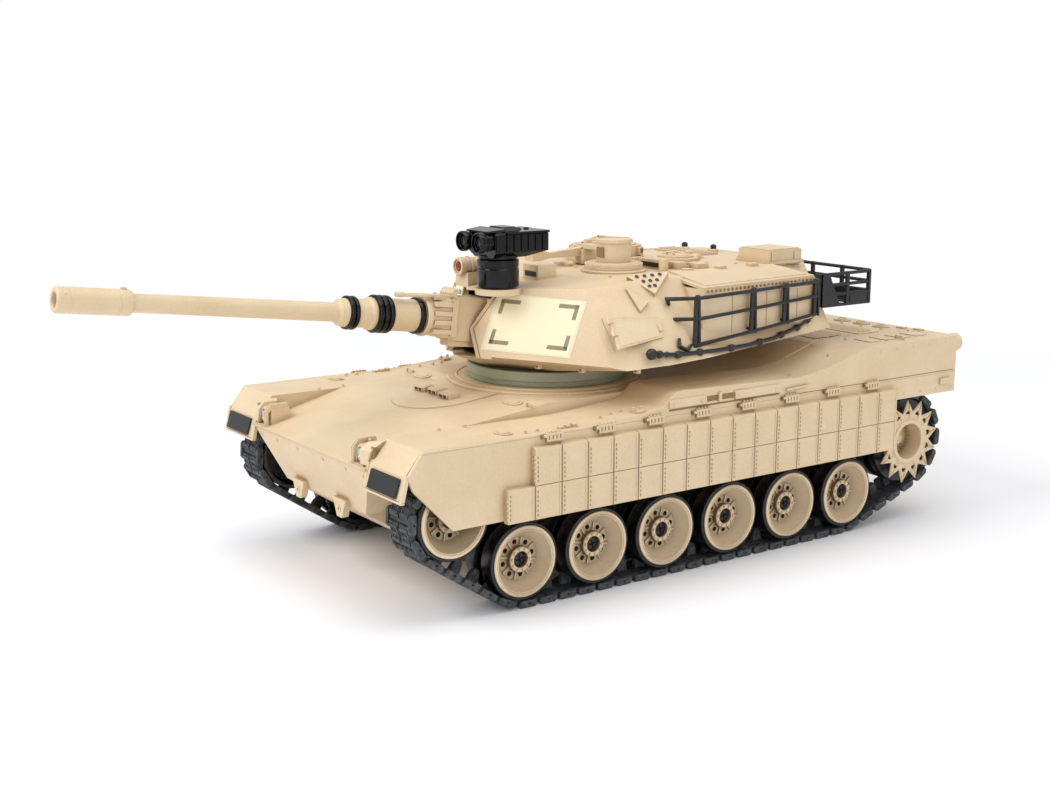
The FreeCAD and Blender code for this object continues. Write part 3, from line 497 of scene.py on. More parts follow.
SAND = moulded("sand_plastic", tone(221, 199, 165), tone(215, 191, 155), tone(140, 108, 66),
               tone(238, 222, 196), 0.46)
# A darker copy of the sand plastic: painted shade for grooves, slots, gaps, set-back faces and dark dashes on
# the sand parts.
SHADE = moulded("sand_painted_shade", tone(150, 124, 84), tone(132, 106, 70), tone(92, 66, 38),
                tone(176, 150, 108), 0.5)
BLACK = moulded("black_plastic", tone(26, 27, 29), tone(32, 33, 36), tone(10, 10, 12),
                tone(84, 87, 90), 0.34, 0.3, 0.01)
OLIVE = moulded("turntable_plastic", tone(166, 170, 146), tone(156, 161, 136), tone(92, 95, 74),
                tone(186, 189, 168), 0.5)
GREY = moulded("grey_plastic", tone(128, 128, 130), tone(118, 118, 121), tone(60, 60, 62),
               tone(160, 160, 162), 0.5)
WRAP = moulded("battery_wrap", tone(40, 72, 140), tone(34, 64, 128), tone(16, 30, 66),
               tone(90, 120, 180), 0.28)
BOARD = moulded("circuit_board", tone(30, 104, 58), tone(26, 92, 50), tone(10, 44, 24),
                tone(80, 150, 100), 0.3)
# A lit and shaded copy of the sand plastic for the wheel faces: brighter for the lit rim, with strong painted
# shade reaching deep into the cone.
SHADED_DISH = moulded("wheel_dish_shaded", tone(228, 206, 172), tone(220, 197, 161), tone(92, 64, 30),
               tone(240, 226, 200), 0.46, reach=18.0, shade=0.95)
GLOSS = polished("gloss_black", tone(5, 5, 6), 0.09, shine=0.3)
SCREW = polished("screw_black", tone(12, 12, 14), 0.3)
STEEL = polished("steel", tone(186, 186, 190), 0.28, 1.0)
CHROME = polished("chrome", tone(220, 222, 226), 0.08, 1.0, 0.06)
RUBBER = rubber("track_rubber", tone(48, 50, 52), tone(102, 105, 108))
TYRE = rubber("tyre_rubber", tone(13, 13, 15), tone(42, 43, 46), 0.34)
LENS = lens_glass("clear_lens", tone(196, 206, 214))
GLASS_DARK = polished("dark_glass", tone(20, 16, 34), 0.05, 0.0, 0.03)
RED = polished("red_lens", tone(120, 26, 20), 0.12, 0.0, 0.05)
CREAM = decal("decal_cream", tone(236, 224, 190), tone(230, 216, 180))
CREAM_EDGE = decal("decal_border", tone(222, 212, 184), tone(216, 204, 174))
BRACKET = decal("decal_bracket", tone(136, 130, 104), tone(122, 116, 92))


# ---------------------------------------------------------------- surfaces

SKINS = {}


def skin_of(node):
    """A search tree of a CAD node's surface, in metres."""
    if node not in SKINS:
        mesh = frame["nodes"][node].data
        SKINS[node] = BVHTree.FromPolygons([v.co for v in mesh.vertices],
                                           [tuple(p.vertices) for p in mesh.polygons])
    return SKINS[node]


def hit(node, start, way):
    """Point and outward normal where a straight line first meets a CAD node, in millimetres."""
    point, normal, _, _ = skin_of(node).ray_cast((Vector(start) + TO_CAD) * MM, Vector(way))
    if point is None:
        raise ValueError("nothing of " + node + " at " + str(start))
    if normal.dot(Vector(way)) > 0:
        normal = -normal
    return point / MM - TO_CAD, normal


def on_top(node, x, y):
    """A place on a node's upper side: own Z out of the surface, own Y climbing or running back."""
    point, normal = hit(node, (x, y, 400), (0, 0, -1))
    return plane_place(point, normal, (0, 1, 0))


def on_side(node, side, y, z):
    """A place on a node's outer side: own X runs level, own Y climbs, own Z stands out."""
    point, normal = hit(node, (side * 300, y, z), (-side, 0, 0))
    return plane_place(point, normal)


def on_front(node, x, z):
    point, normal = hit(node, (x, -400, z), (0, 1, 0))
    return plane_place(point, normal)


def on_back(node, x, z):
    point, normal = hit(node, (x, 400, z), (0, -1, 0))
    return plane_place(point, normal)


# ---------------------------------------------------------------- running gear

TEETH = 13
WHEEL_NAMES = ("idler", "road_1", "road_2", "road_3", "road_4", "road_5", "road_6")
WHEEL_STEPS = 96
BELT_THICK = 4.5
# Half length of the end connectors, as a share of the pitch
LINK_SHARE = 0.42


def belt_circles(side_name):
    """Centre and radius of each round that the belt's inner face follows, front to back."""
    gap = 0.1
    found = []
    for name in ("idler_wheel", "road_1_wheel", "road_6_wheel", "sprocket"):
        low, high = box_of(name + "_" + side_name)
        found.append((((low + high) / 2).yz, (high.z - low.z) / 2 + gap))
    return found


def belt_path(circles):
    """Points and outward directions every fraction of a millimetre round the circles' outer tangents."""
    outs = []
    for k, (centre, radius) in enumerate(circles):
        next_centre, next_radius = circles[(k + 1) % len(circles)]
        way = next_centre - centre
        share = (radius - next_radius) / way.length
        way.normalize()
        right = Vector((way.y, -way.x))
        outs.append(way * share + right * math.sqrt(1 - share * share))
    step = 0.2
    path = []
    for k, (centre, radius) in enumerate(circles):
        first = math.atan2(outs[k - 1].y, outs[k - 1].x)
        turn = (math.atan2(outs[k].y, outs[k].x) - first) % math.tau
        count = max(1, round(turn * radius / step))
        for i in range(count):
            angle = first + turn * i / count
            out = Vector((math.cos(angle), math.sin(angle)))
            path.append((centre + out * radius, out))
        start = centre + outs[k] * radius
        next_centre, next_radius = circles[(k + 1) % len(circles)]
        end = next_centre + outs[k] * next_radius
        count = round((end - start).length / step)
        path.extend((start.lerp(end, i / count), outs[k]) for i in range(count))
    return path


def belt_lengths(path):
    """Length travelled at each path point, and once more at the end of the round."""
    travelled = [0.0]
    for k, (point, _) in enumerate(path):
        travelled.append(travelled[-1] + (path[(k + 1) % len(path)][0] - point).length)
    return travelled


def belt_places(path, travelled, pitch, offset, half):
    """Places one pitch apart, each on the chord that reaches half a length both ways.

    A straight form on such a chord stays outside the wheels and above the ground."""
    total = travelled[-1]
    places = []
    for k in range(round(total / pitch)):
        ends = [path[bisect.bisect_left(travelled, length % total) % len(path)][0]
                for length in ((k + offset) * pitch - half, (k + offset) * pitch + half)]
        way = (ends[1] - ends[0]).normalized()
        turn = Matrix(((1, 0, 0), (0, -way.x, -way.y), (0, way.y, -way.x))).transposed().to_4x4()
        middle = (ends[0] + ends[1]) / 2
        places.append(Matrix.Translation((0, middle.x, middle.y)) @ turn)
    return places


def track_shoe(pitch):
    """One shoe: carrier, two ribbed pads and the guide horn."""
    shoe = Shape()
    gap = 0.75
    reach = pitch / 2 - gap
    shoe.box((-9.0, -reach, 0.9), (9.0, reach, 2.6))
    for sign in (-1, 1):
        inner, outer = sorted((sign * 0.6, sign * 8.9))
        shoe.box((inner, -reach - 0.25, 2.4), (outer, reach + 0.25, 3.7))
        for y in (-3.5, 3.5):
            shoe.box((inner + 0.5, y - 0.95, 3.5), (outer - 0.5, y + 0.95, BELT_THICK))
        middle = (inner + outer) / 2
        shoe.box((middle - 2.3, -0.8, 3.5), (middle + 2.3, 0.8, BELT_THICK))
        for x in (middle - 2.9, middle + 2.9):
            shoe.box((x - 0.55, -2.7, 3.5), (x + 0.55, 2.7, BELT_THICK - 0.25))
    shoe.loft([[(x * w, y * d, z) for x, y in ((-1, -1), (1, -1), (1, 1), (-1, 1))]
               for w, d, z in ((1.6, 3.0, 0.7), (1.5, 2.8, -2.4), (1.2, 2.2, -4.8), (0.8, 1.2, -6.2))])
    return shoe


def track_joint(pitch):
    """The hinge pin between two shoes with an end connector on each end."""
    joint = Shape()
    end = pitch * LINK_SHARE
    outline = ((-end, 1.2), (-end + 1.2, 0.75), (end - 1.2, 0.75), (end, 1.2),
               (end, 3.3), (end - 1.3, BELT_THICK - 0.05), (1.3 - end, BELT_THICK - 0.05), (-end, 3.3))
    depths = ((9.3, 1.0), (11.1, 1.0), (11.5, 0.86))
    for sign in (-1, 1):
        joint.loft([[(sign * x, y * share, 2.2 + (z - 2.2) * share) for y, z in outline]
                    for x, share in depths])
        joint.disc(0.75, 11.2, 11.5, 0, Matrix.Translation((0, 0, 2.2))
                   @ Matrix.Rotation(sign * math.pi / 2, 4, "Y"), 12)
    joint.rod(((-9.4, 0, 2.2), (9.4, 0, 2.2)), 1.15, 0, 10)
    return joint


def make_tracks():
    """Both belts: shoes and the joints between them, as many as the belt's length asks for."""
    for side_name, _ in SIDES:
        circles = belt_circles(side_name)
        path = belt_path(circles)
        travelled = belt_lengths(path)
        pitch = travelled[-1] / round(travelled[-1] / (math.tau * circles[-1][1] / TEETH))
        shoes = belt_places(path, travelled, pitch, 0.0, pitch / 2 - 0.5)
        joints = belt_places(path, travelled, pitch, 0.5, pitch * LINK_SHARE)
        centre = Matrix.Translation((middle_of("track_" + side_name).x, 0, 0))
        for kind, part, places in (("shoes", track_shoe(pitch), shoes),
                                   ("links", track_joint(pitch), joints)):
            part.copies([centre @ place for place in places])
            part.piece("track_%s_%s" % (kind, side_name), "hull", (RUBBER,), 0.2, ("track_" + side_name,))


def tyre_mesh():
    """A black wheel: outer tyre with a recess for the dish, guide groove, inner tyre."""
    wheel = Shape()
    profile = ((2.2, -9.0), (5.6, -9.0), (6.0, -8.6), (6.0, -6.4), (16.2, -6.4), (17.4, -11.4), (17.8, -11.7),
               (19.2, -11.7), (19.75, -11.4), (20.0, -10.8), (20.0, -3.0), (19.5, -2.2), (12.9, -2.2),
               (12.5, -1.8), (12.5, 1.8), (12.9, 2.2), (19.5, 2.2), (20.0, 3.0), (20.0, 10.6),
               (19.8, 11.3), (19.3, 11.7), (18.5, 11.7), (18.35, 11.4), (18.35, 3.0), (2.2, 3.0))
    wheel.turned(profile, WHEEL_STEPS, 0, None, True)
    return wheel.mesh("tyre", (TYRE,), OWN_ZERO)


def dish_mesh():
    """The tan wheel face: rim with a double ring, deep cone, lightening holes and bolted hub."""
    dish = Shape()
    profile = ((2.2, 3.1), (18.2, 3.1), (18.2, 12.1), (17.9, 12.45), (16.75, 12.5), (16.55, 12.2),
               (16.3, 12.15), (16.1, 12.4), (15.85, 12.4), (15.6, 12.0), (15.45, 11.2), (11.2, 5.7),
               (10.6, 5.2), (6.9, 5.2), (6.65, 5.5), (6.5, 8.2), (6.1, 8.6), (4.4, 8.6), (4.2, 8.4),
               (4.2, 4.8), (2.2, 4.8))
    dish.turned(profile, WHEEL_STEPS, 0, None, True)
    hole_count, hole_circle, nut_circle = 8, 8.75, 5.35
    holes = Shape()
    for turn in turns(hole_count):
        holes.disc(1.35, 2.0, 7.0, 0, Matrix.Translation(turn @ Vector((hole_circle, 0, 0))), 20)
    extra = Shape()
    for turn in turns(10, 0.5):
        extra.nut(0.62, 0.75, turn @ at((nut_circle, 0, 8.6)))
    for turn in turns(hole_count, 0.5):
        extra.box((6.4, -0.45, 5.0), (10.9, 0.45, 6.0), 0, turn)
    extra.take(carved(dish.mesh("dish", (SHADED_DISH,), OWN_ZERO), holes, OWN_ZERO))
    return extra.mesh("dish", (SHADED_DISH,), OWN_ZERO)


def screw_mesh():
    """A round screw head with a cross in it."""
    head = Shape()
    head.turned(((3.6, 4.95), (3.6, 6.4), (3.3, 6.9), (2.6, 7.1)), 32)
    mesh = head.mesh("screw", (SCREW,), OWN_ZERO)
    cross = Shape()
    arm, half = 2.2, 0.45
    outline = []
    for turn in turns(4):
        outline += [(turn @ Vector((x, y, 0))).xy for x, y in ((half, half), (half, arm), (-half, arm))]
    cross.prism(outline, 6.1, 8.0)
    return carved(mesh, cross, OWN_ZERO)


def wheel_place(node, side):
    """On the axle, in metres, with own Z looking out of the tank."""
    point = middle_of(node)
    track_x = middle_of("track_left").x * side
    return at((Vector((track_x, point.y, point.z)) + TO_CAD) * MM, (side, 0, 0), 0.2)


def make_wheels():
    """Every wheel is the same tyre and dish; the screw in its middle stays with the hull."""
    tyre, dish, screw = tyre_mesh(), dish_mesh(), screw_mesh()
    for side_name, side in SIDES:
        for name in WHEEL_NAMES:
            end = "_" + side_name
            body = name + end
            wheel, disc = name + "_wheel" + end, name + "_disc" + end
            place = wheel_place(wheel, side)
            show(name + "_tyre" + end, tyre, body, 0.12, (wheel,), place)
            show(name + "_dish" + end, dish, body, 0.1, (disc,), place)
            show(name + "_screw" + end, screw, "hull", 0.12, ("wheel_screws",), place)


def sprocket_mesh():
    """Toothed rings on a drum, with a ribbed bore. Own Z looks out of the tank."""
    ring_face, tooth_foot, tooth_tip, bore = 12.6, 17.6, 25.0, 10.6
    outline = []
    for turn in turns(TEETH):
        outline.append((turn @ Vector((tooth_tip, 0, 0))).xy)
        half_tooth = Matrix.Rotation(math.pi / TEETH, 4, "Z")
        outline.append((turn @ half_tooth @ Vector((tooth_foot, 0, 0))).xy)
    star = Shape()
    star.prism(outline, 11.75, ring_face)
    star.prism(outline, -13.25, -11.75)
    cut = Shape()
    for turn in turns(TEETH):
        cut.prism(((14.2, -1.5), (17.4, -1.7), (19.0, 0.0), (17.4, 1.7), (14.2, 1.5)), 11.0, 14.0, 0, turn)
    cut.disc(bore + 0.05, -14, 14, 0, None, WHEEL_STEPS)
    star_mesh = carved(star.mesh("star", (SAND, BLACK), OWN_ZERO), cut, OWN_ZERO)
    wheel = Shape()
    for turn in turns(TEETH):
        for sign in (-1, 1):
            foot = [(17.2, sign * 1.75), (19.4, 0.25 * sign), (24.6, 0.1 * sign), (17.5, sign * 3.9)]
            ridge = [(18.2, sign * 1.9), (19.6, 0.7 * sign), (23.6, 0.15 * sign), (18.2, sign * 2.6)]
            wheel.loft([[(x, y, ring_face - 0.2) for x, y in foot],
                        [(x, y, ring_face + 0.65) for x, y in ridge]], 0, turn)
    wheel.turned(((bore, 1.0), (bore, 12.9), (bore + 0.35, 13.25), (13.0, 13.25), (13.4, 12.8), (13.6, 12.4),
                  (16.4, 12.2), (16.4, -12.6), (6.0, -12.6), (6.0, 1.0)), WHEEL_STEPS, 0, None, True)
    # The drum's bands between the toothed rings are black: painted shade for the dark inside seen between the
    # teeth.
    for low, high in ((-8.0, -2.6), (2.6, 8.0)):
        wheel.turned(((16.2, low), (24.6, low), (24.6, high), (16.2, high)), WHEEL_STEPS, 1, None, True)
    wheel.turned(((6.4, 0.6), (6.4, 1.6), (3.2, 1.6), (3.2, 4.6), (2.8, 5.0)), 32)
    for turn in turns(TEETH * 2):
        wheel.box((9.9, -0.3, 1.2), (bore + 0.2, 0.3, 4.2), 0, turn)
    for turn in turns(3, 0.55):
        wheel.nut(1.5, 1.1, turn @ Matrix.Translation((8.1, 0, 1.2)), 2)
    wheel.take(star_mesh)
    return wheel.mesh("sprocket", (SAND, BLACK, STEEL), OWN_ZERO)


def make_sprockets():
    mesh = sprocket_mesh()
    for side_name, side in SIDES:
        node = "sprocket_" + side_name
        show("drive_" + node, mesh, "sprocket_body_" + side_name, 0.12, (node,),
             wheel_place(node, side))


# ---------------------------------------------------------------- hull

DECK = "upper_hull"


def both_sides(shape):
    """Repeats what was drawn for the left side on the right."""
    shape.copies([Matrix.Identity(4), MIRROR])


def seam(shape, node, points, radius=0.22, paint=0, sink=0.45):
    """A fine bead that follows a node's upper side through points of the plan."""
    plan = []
    for (x0, y0), (x1, y1) in zip(points, points[1:]):
        steps = max(1, round(math.hypot(x1 - x0, y1 - y0) / 5))
        plan += [(x0 + (x1 - x0) * k / steps, y0 + (y1 - y0) * k / steps) for k in range(steps)]
    plan.append(points[-1])
    shape.rod([on_top(node, x, y) @ Vector((0, 0, -radius * sink)) for x, y in plan], radius, paint, 8)


def stud(shape, place, radius, height):
    """A small round post with a foot ring and a broken edge."""
    shape.turned([(radius * 1.3, -0.4), (radius * 1.3, 0.3), (radius, 0.35), (radius, height - 0.25),
                  (radius * 0.75, height)], 14, 0, place)


def plate(shape, node, outline, height=0.7):
    """A raised panel on a node's upper side: its rim follows the surface, its top stands above it."""
    foot = [on_top(node, x, y) @ Vector((0, 0, -0.6)) for x, y in outline]
    top = [on_top(node, x, y) @ Vector((0, 0, height)) for x, y in outline]
    shape.loft([[tuple(p) for p in foot], [tuple(p) for p in top]])


def oval(x, y, half_x, half_y):
    return [(x + half_x * across, y + half_y * along) for across, along, _ in circle(1.0, 28)]


def deck_seams():
    """Panel joints of the glacis, the fenders and the engine deck."""
    rim = 96.8
    lines = Shape()
    for points in ([(41, -143.5), (94, -143.5)],
                   [(57.5, -143.5), (60, -126), (70, -99), (80, -66)],
                   [(61.8, -172), (61.8, -146)],
                   [(67, 66), (67, 104), (67, 186)],
                   [(67, 104), (95, 116)],
                   [(84, -20), (80, 20), (72, 62)]):
        seam(lines, DECK, points)
    seam(lines, DECK, [(94.2, -176), (94.2, -84), (93.6, -44)], 0.28)
    seam(lines, DECK, [(rim, -178.5), (rim, -84), (rim, -46)], 0.4)
    seam(lines, DECK, [(rim, -28), (rim, 60), (rim, 84), (rim, 112), (rim, 188)], 0.35)
    both_sides(lines)
    for half, y in ((66, 104), (60, 140)):
        seam(lines, DECK, [(-half, y), (half, y)])
    lines.piece("deck_seams", "hull", (SAND,), 0)


def turret_collar():
    """Stepped ring round the opening that the turret turns in."""
    ring = Shape()
    place = Matrix.Translation((0, RING_BEHIND, 0))
    for profile in (((51.6, 86), (55.8, 86), (55.8, 94.5), (55.3, 95.0), (51.6, 95.0)),
                    ((50.0, 94.9), (51.3, 94.9), (51.3, 95.7), (51.0, 96.0), (50.3, 96.0), (50.0, 95.8))):
        ring.turned(profile, 128, 0, place, True)
    ring.piece("turret_collar", "hull", (SAND,), 0.2)


def driver_hatch():
    """The hatch plate in the glacis, with three periscope boxes near its rear edge."""
    half, rear, corner, middle, share = 24.5, -90, -112, -108, 0.86
    arc = [(-half * math.cos(math.pi * k / 20), corner - 24 * math.sin(math.pi * k / 20))
           for k in range(1, 20)]
    rim = [(-half, rear), (-half, corner), *arc, (half, corner), (half, rear)]
    hatch = Shape()
    plate(hatch, DECK, rim, 0.75)
    inner = [(x * share, y if y == rear else middle + (y - middle) * share) for x, y in rim]
    seam(hatch, DECK, inner, 0.9, 0, 0.1)
    for x, y in ((-15.5, -110.5), (-3, -109.5), (9.5, -110.5)):
        place = on_top(DECK, x, y)
        hatch.box((-5.4, -3.2, -0.5), (5.4, 3.2, 3.6), 0, place)
        hatch.box((-4.3, -3.9, 1.1), (4.3, -3.1, 3.3), 0, place)
        for window in (-3.6, 0.4):
            hatch.box((window, -4.0, 1.3), (window + 3.2, -3.6, 3.0), 1, place)
        hatch.box((-4.6, -2.4, 3.5), (4.6, 2.4, 3.9), 0, place)
    hatch.piece("driver_hatch", "hull", (SAND, GLASS_DARK), 0.2)


def deck_fittings():
    """Caps, studs, tie-down rings and vents that stand on the deck."""
    caps = Shape()
    for x, y, half_x, half_y in ((85.5, -127.5, 5.2, 4.0), (45.2, -93.9, 6.4, 4.2)):
        plate(caps, DECK, oval(x, y, half_x, half_y), 0.7)
        plate(caps, DECK, oval(x, y, half_x * 0.72, half_y * 0.72), 1.15)
    for x, y in ((91, -118), (91, -111), (86, -62), (86, -56), (63, -150), (63, -135), (88, -70),
                 (90, 60), (84, 96), (88, 140), (72, 122), (72, 176)):
        stud(caps, on_top(DECK, x, y), 0.75, 1.5)
    for x, y in ((60, -93), (88, 150)):
        place = on_top(DECK, x, y)
        half_loop = [(3.2, 0, -0.3), (3.2, 0, 1.4), (2.4, 0, 2.1)]
        loop = [(-x, y, z) for x, y, z in half_loop] + half_loop[::-1]
        caps.rod([place @ Vector(p) for p in loop], 0.55, 0, 8)
    for k in range(3):
        place = on_top(DECK, 92.3, -98 + 4 * k)
        caps.box((-1.6, -1.2, -0.3), (1.6, 1.2, 1.1 + 0.3 * k), 0, place)
    for y in (-52, -47.5):
        stud(caps, on_top(DECK, 92.5, y), 0.8, 3.0)
    caps.box((-3.4, -2.4, -0.3), (3.4, 2.4, 1.4), 0, on_top(DECK, 92.5, -49.7))
    both_sides(caps)
    caps.piece("deck_fittings", "hull", (SAND,), 0.15)


def engine_deck():
    """Louvred covers, vents and filler caps of the engine deck."""
    deck = Shape()
    inner, outer, pitch = 6, 62, 3.2
    half = (outer - inner) / 2 - 3
    for front, rear in ((109, 136), (144, 162)):
        plate(deck, DECK, rectangle(inner, outer, front, rear), 0.5)
        for k in range(int((rear - front - 4) / pitch)):
            place = on_top(DECK, (inner + outer) / 2, front + pitch + pitch * k)
            deck.loft([[(x, -1.1, 0.4), (x, 1.1, 0.4), (x, 1.1, 1.5), (x, 0.4, 1.5)] for x in (-half, half)],
                      0, place)
            # Painted shade: a dark strip in the gap behind each louvre.
            deck.box((-half, 1.15, 0.35), (half, 1.75, 0.56), 1, place)
    for x in (17, 33, 49):
        plate(deck, DECK, oval(x, 178, 5.6, 4.6), 0.9)
        plate(deck, DECK, oval(x, 178, 3.8, 3.0), 1.4)
        deck.box((-2.6, -0.5, 1.2), (2.6, 0.5, 1.9), 0, on_top(DECK, x, 178))
    for x in (9, 25, 41, 57):
        stud(deck, on_top(DECK, x, 169), 0.7, 1.2)
    for x, y in ((71.5, 186), (60, 184)):
        deck.box((-3.2, -1.6, -0.3), (3.2, 1.6, 1.0), 0, on_top(DECK, x, y))
    for k in range(4):
        place = on_top(DECK, 80, 132 + 13 * k)
        deck.box((-6.5, -4.6, -0.3), (6.5, 4.6, 0.55), 0, place)
        for x in (-5.4, 5.4):
            deck.dome(0.55, place @ Matrix.Translation((x, 0, 0.5)))
    both_sides(deck)
    deck.piece("engine_deck", "hull", (SAND, SHADE), 0.12)


def side_boxes():
    """Long lockers and grab bars on the sponson walls above the skirts."""
    walls = Shape()
    top, foot, wall = 95.4, 91.0, 96.6
    for front, rear, out in ((-33, -8, 98.6), (12, 45, 98.9)):
        walls.loft([[(wall, y, foot), (out, y, foot), (out, y, top - 1.2), (out - 0.9, y, top),
                     (wall, y, top)] for y in (front, rear)])
        for y in (front + 3, rear - 3):
            walls.box((out - 0.1, y - 1.0, foot + 1.0), (out + 0.35, y + 1.0, top - 1.6))
    # Painted shade: a dark strip in the recess between the two lockers.
    walls.box((97.2, -7.6, 91.6), (97.55, 11.6, 94.6), 1)
    walls.box((97.3, 0.4, 91.2), (98.8, 2.4, 95.8))
    # Painted shade: a dark strip under the lockers' feet.
    walls.box((97.3, -32.8, 89.4), (97.55, 45, 90.4), 1)
    walls.rod([(97.2, 50, 91.5), (98.5, 50, 91.5), (98.5, 66, 92.2), (97.2, 66, 92.2)], 0.5, 0, 8)
    for k in range(5):
        walls.dome(0.6, on_side(DECK, 1, 124 + 14 * k, 105.4))
    # Painted shade: a dark strip under the sponson's lip above the skirt.
    walls.box((97.25, 60, 88.0), (97.5, 188, 88.5), 1)
    both_sides(walls)
    walls.piece("sponson_boxes", "hull", (SAND, SHADE), 0.2)


def tail_lamps():
    """Round drums on the rear corners, with a lens set back in each."""
    lamps = Shape()
    place = at((90, 190, 103), (0, 1, 0))
    lamps.turned(((5.25, 0.1), (5.25, 1.6), (5.0, 1.7), (5.0, 7.4), (4.7, 7.85), (4.1, 7.9), (4.1, 7.0),
                  (0.4, 7.0), (0.4, 0.1)), 48, 0, place, True)
    # The set-back lens is a disc of the darker sand: painted shade in the drum's mouth.
    lamps.disc(4.0, 6.8, 7.25, 1, place, 32)
    lamps.rod([place @ Vector(point) for point in circle(4.4, 32, 3.4)], 0.9, 0, 8, True)
    both_sides(lamps)
    lamps.piece("tail_lamps", "hull", (SAND, SHADE), 0.15)


def tail_plate():
    """Grilles, tow eyes and plate joints on the rear of the hull."""
    tail = Shape()
    wall, inner, outer, rim = 189.6, 8, 56, 1.6
    for k in range(8):
        z = 78 + 3.4 * k
        tail.loft([[(x, wall, z), (x, 191.2, z), (x, 189.9, z + 2.2), (x, wall, z + 2.2)]
                   for x in (inner, outer)])
        # Painted shade: a dark strip in the gap between slats.
        tail.box((inner, wall + 0.1, z + 2.2), (outer, 190.08, z + 3.3), 1)
    for x in (inner - rim, outer):
        tail.box((x, wall, 76.4), (x + rim, 191.6, 105.6))
    for z in (105.2, 75.2):
        tail.box((inner - rim, wall, z), (outer + rim, 191.6, z + rim))
    for z in (82, 92, 102):
        tail.box((57.8, wall, z - 1.6), (60.6, 191.4, z + 1.6))
    for x, z in ((70, 80), (84, 80), (70, 100), (77, 90)):
        tail.nut(1.2, 1.0, on_back(DECK, x, z))
    place = on_back("lower_hull", 34, 60)
    tail.box((-5, -4, -0.4), (5, 4, 1.2), 0, place)
    eye = ((-3, 0, 0.8), (-3, 0, 4.4), (0, 0, 5.6), (3, 0, 4.4), (3, 0, 0.8))
    tail.rod([place @ Vector(p) for p in eye], 1.0, 0, 10)
    both_sides(tail)
    place = on_back("lower_hull", 0, 60)
    tail.box((-8, -5, -0.4), (8, 5, 1.0), 0, place)
    tail.disc(3.0, 0.8, 3.6, 0, place)
    tail.piece("tail_plate", "hull", (SAND, SHADE), 0.18)


def lamp_place():
    """On the left head lamp's face, own Z looking ahead."""
    return at((53, -187, middle_of("headlamp_lenses").z), (0, -1, 0))


def head_lamps():
    """Lens bezels in their guards, with a bracing arm from each fender."""
    lamps = Shape()
    place = lamp_place()
    bezel = ((3.05, -0.4), (4.3, -0.4), (4.3, 0.9), (3.9, 1.2), (3.3, 1.2), (3.05, 0.9))
    lamps.turned(bezel, 36, 0, place, True)
    guard = ((-190.2, 75.0), (-190.2, 83.0), (-187.0, 86.8), (-177, 86.8), (-177, 84.4), (-186.2, 84.4),
             (-188.4, 82.0), (-188.4, 75.0))
    for x in (47.2, 48.6):
        lamps.prism(guard, x, x + 0.9, 0, ALONG_X)
    lamps.box((46.8, -190.0, 74.0), (58.6, -186.4, 75.6))
    lamps.loft([[(56.6, -190.4, 76.0), (61.0, -189.2, 76.0), (61.0, -186.6, 76.0), (56.6, -186.6, 76.0)],
                [(55.8, -190.0, 83.0), (62.6, -188.0, 83.0), (62.6, -183.0, 83.0), (55.8, -184.0, 83.0)],
                [(57.0, -186.2, 86.6), (64.6, -182.0, 87.6), (64.6, -176.0, 87.6), (57.0, -178.0, 86.6)]])
    # Painted shade: a dark block between the bracing arm and the guard, and a dark strip under the lens.
    lamps.box((61.2, -186.8, 75.4), (64.2, -184.8, 85.0), 1)
    lamps.box((49.8, -187.25, 75.8), (56.4, -186.9, 77.2), 1)
    for x, y in ((51.5, -182), (59.5, -182)):
        stud(lamps, Matrix.Translation((x, y, 84.5)), 0.9, 2.0)
    lamps.box((63.8, -187.6, 74.2), (66.4, -183.2, 78.6))
    both_sides(lamps)
    lamps.piece("lamp_guards", "hull", (SAND, SHADE), 0.25)
    rims = Shape()
    rims.turned(((2.85, -1.6), (3.1, -1.6), (3.1, 1.05), (2.85, 1.05)), 36, 0, place, True)
    both_sides(rims)
    rims.piece("lamp_rims", "hull", (CHROME,), 0.06, slot="steel")


def lens_covers():
    """Faceted round lenses, slightly domed."""
    lens = Shape()
    lens.turned(((2.8, -1.95), (2.8, 0.2), (2.2, 0.75), (1.2, 1.05), (0.3, 1.1)), 32, 0, lamp_place())
    both_sides(lens)
    lens.piece("lamp_lenses", "hull", (LENS,), 0, ("headlamp_lenses",))


def mud_flap_frames():
    """Tan rims round the black flaps at the front of each fender."""
    refined("mud_flaps", BLACK, 0.2)
    inner, outer = 61.0, 97.2
    rim = Shape()
    for low_x, high_x in ((inner, inner + 1.8), (outer - 2.0, outer)):
        rim.loft([level(low_x, high_x, -191.9, -189.8, 65.6), level(low_x, high_x, -188.9, -186.8, 78.0)])
    rim.box((inner, -191.95, 64.9), (outer, -189.8, 66.2))
    both_sides(rim)
    rim.piece("mud_flap_frames", "hull", (SAND,), 0.2)


def tow_lugs():
    """Tapered lugs under the bow, each with a pin, and the bow's bolt row."""
    lugs = Shape()
    x = 22.7
    lugs.loft([[(x - 6.6, y, 50.5), (x + 6.6, y, 50.5), (x + 2.6, y, 41.0), (x - 2.6, y, 41.0)]
               for y in (-184.4, -180.6)])
    pin = at((x, -184.2, 45.4), (0, -1, 0))
    lugs.disc(1.5, -0.6, 0.6, 0, pin, 20)
    # Painted shade: a small dark disc for the hole in the pin's end.
    lugs.disc(0.8, 0.5, 0.66, 1, pin, 16)
    for x in (14, 38, 56):
        lugs.dome(0.9, on_front("lower_hull", x, 69.5))
    both_sides(lugs)
    lugs.piece("tow_lugs", "hull", (SAND, SHADE), 0.25)


MARK_PITCH = 2.3


def upright(x, front, rear, low, high):
    """The corners of an upright rectangle that looks out sideways."""
    return [(x, front, low), (x, rear, low), (x, rear, high), (x, front, high)]


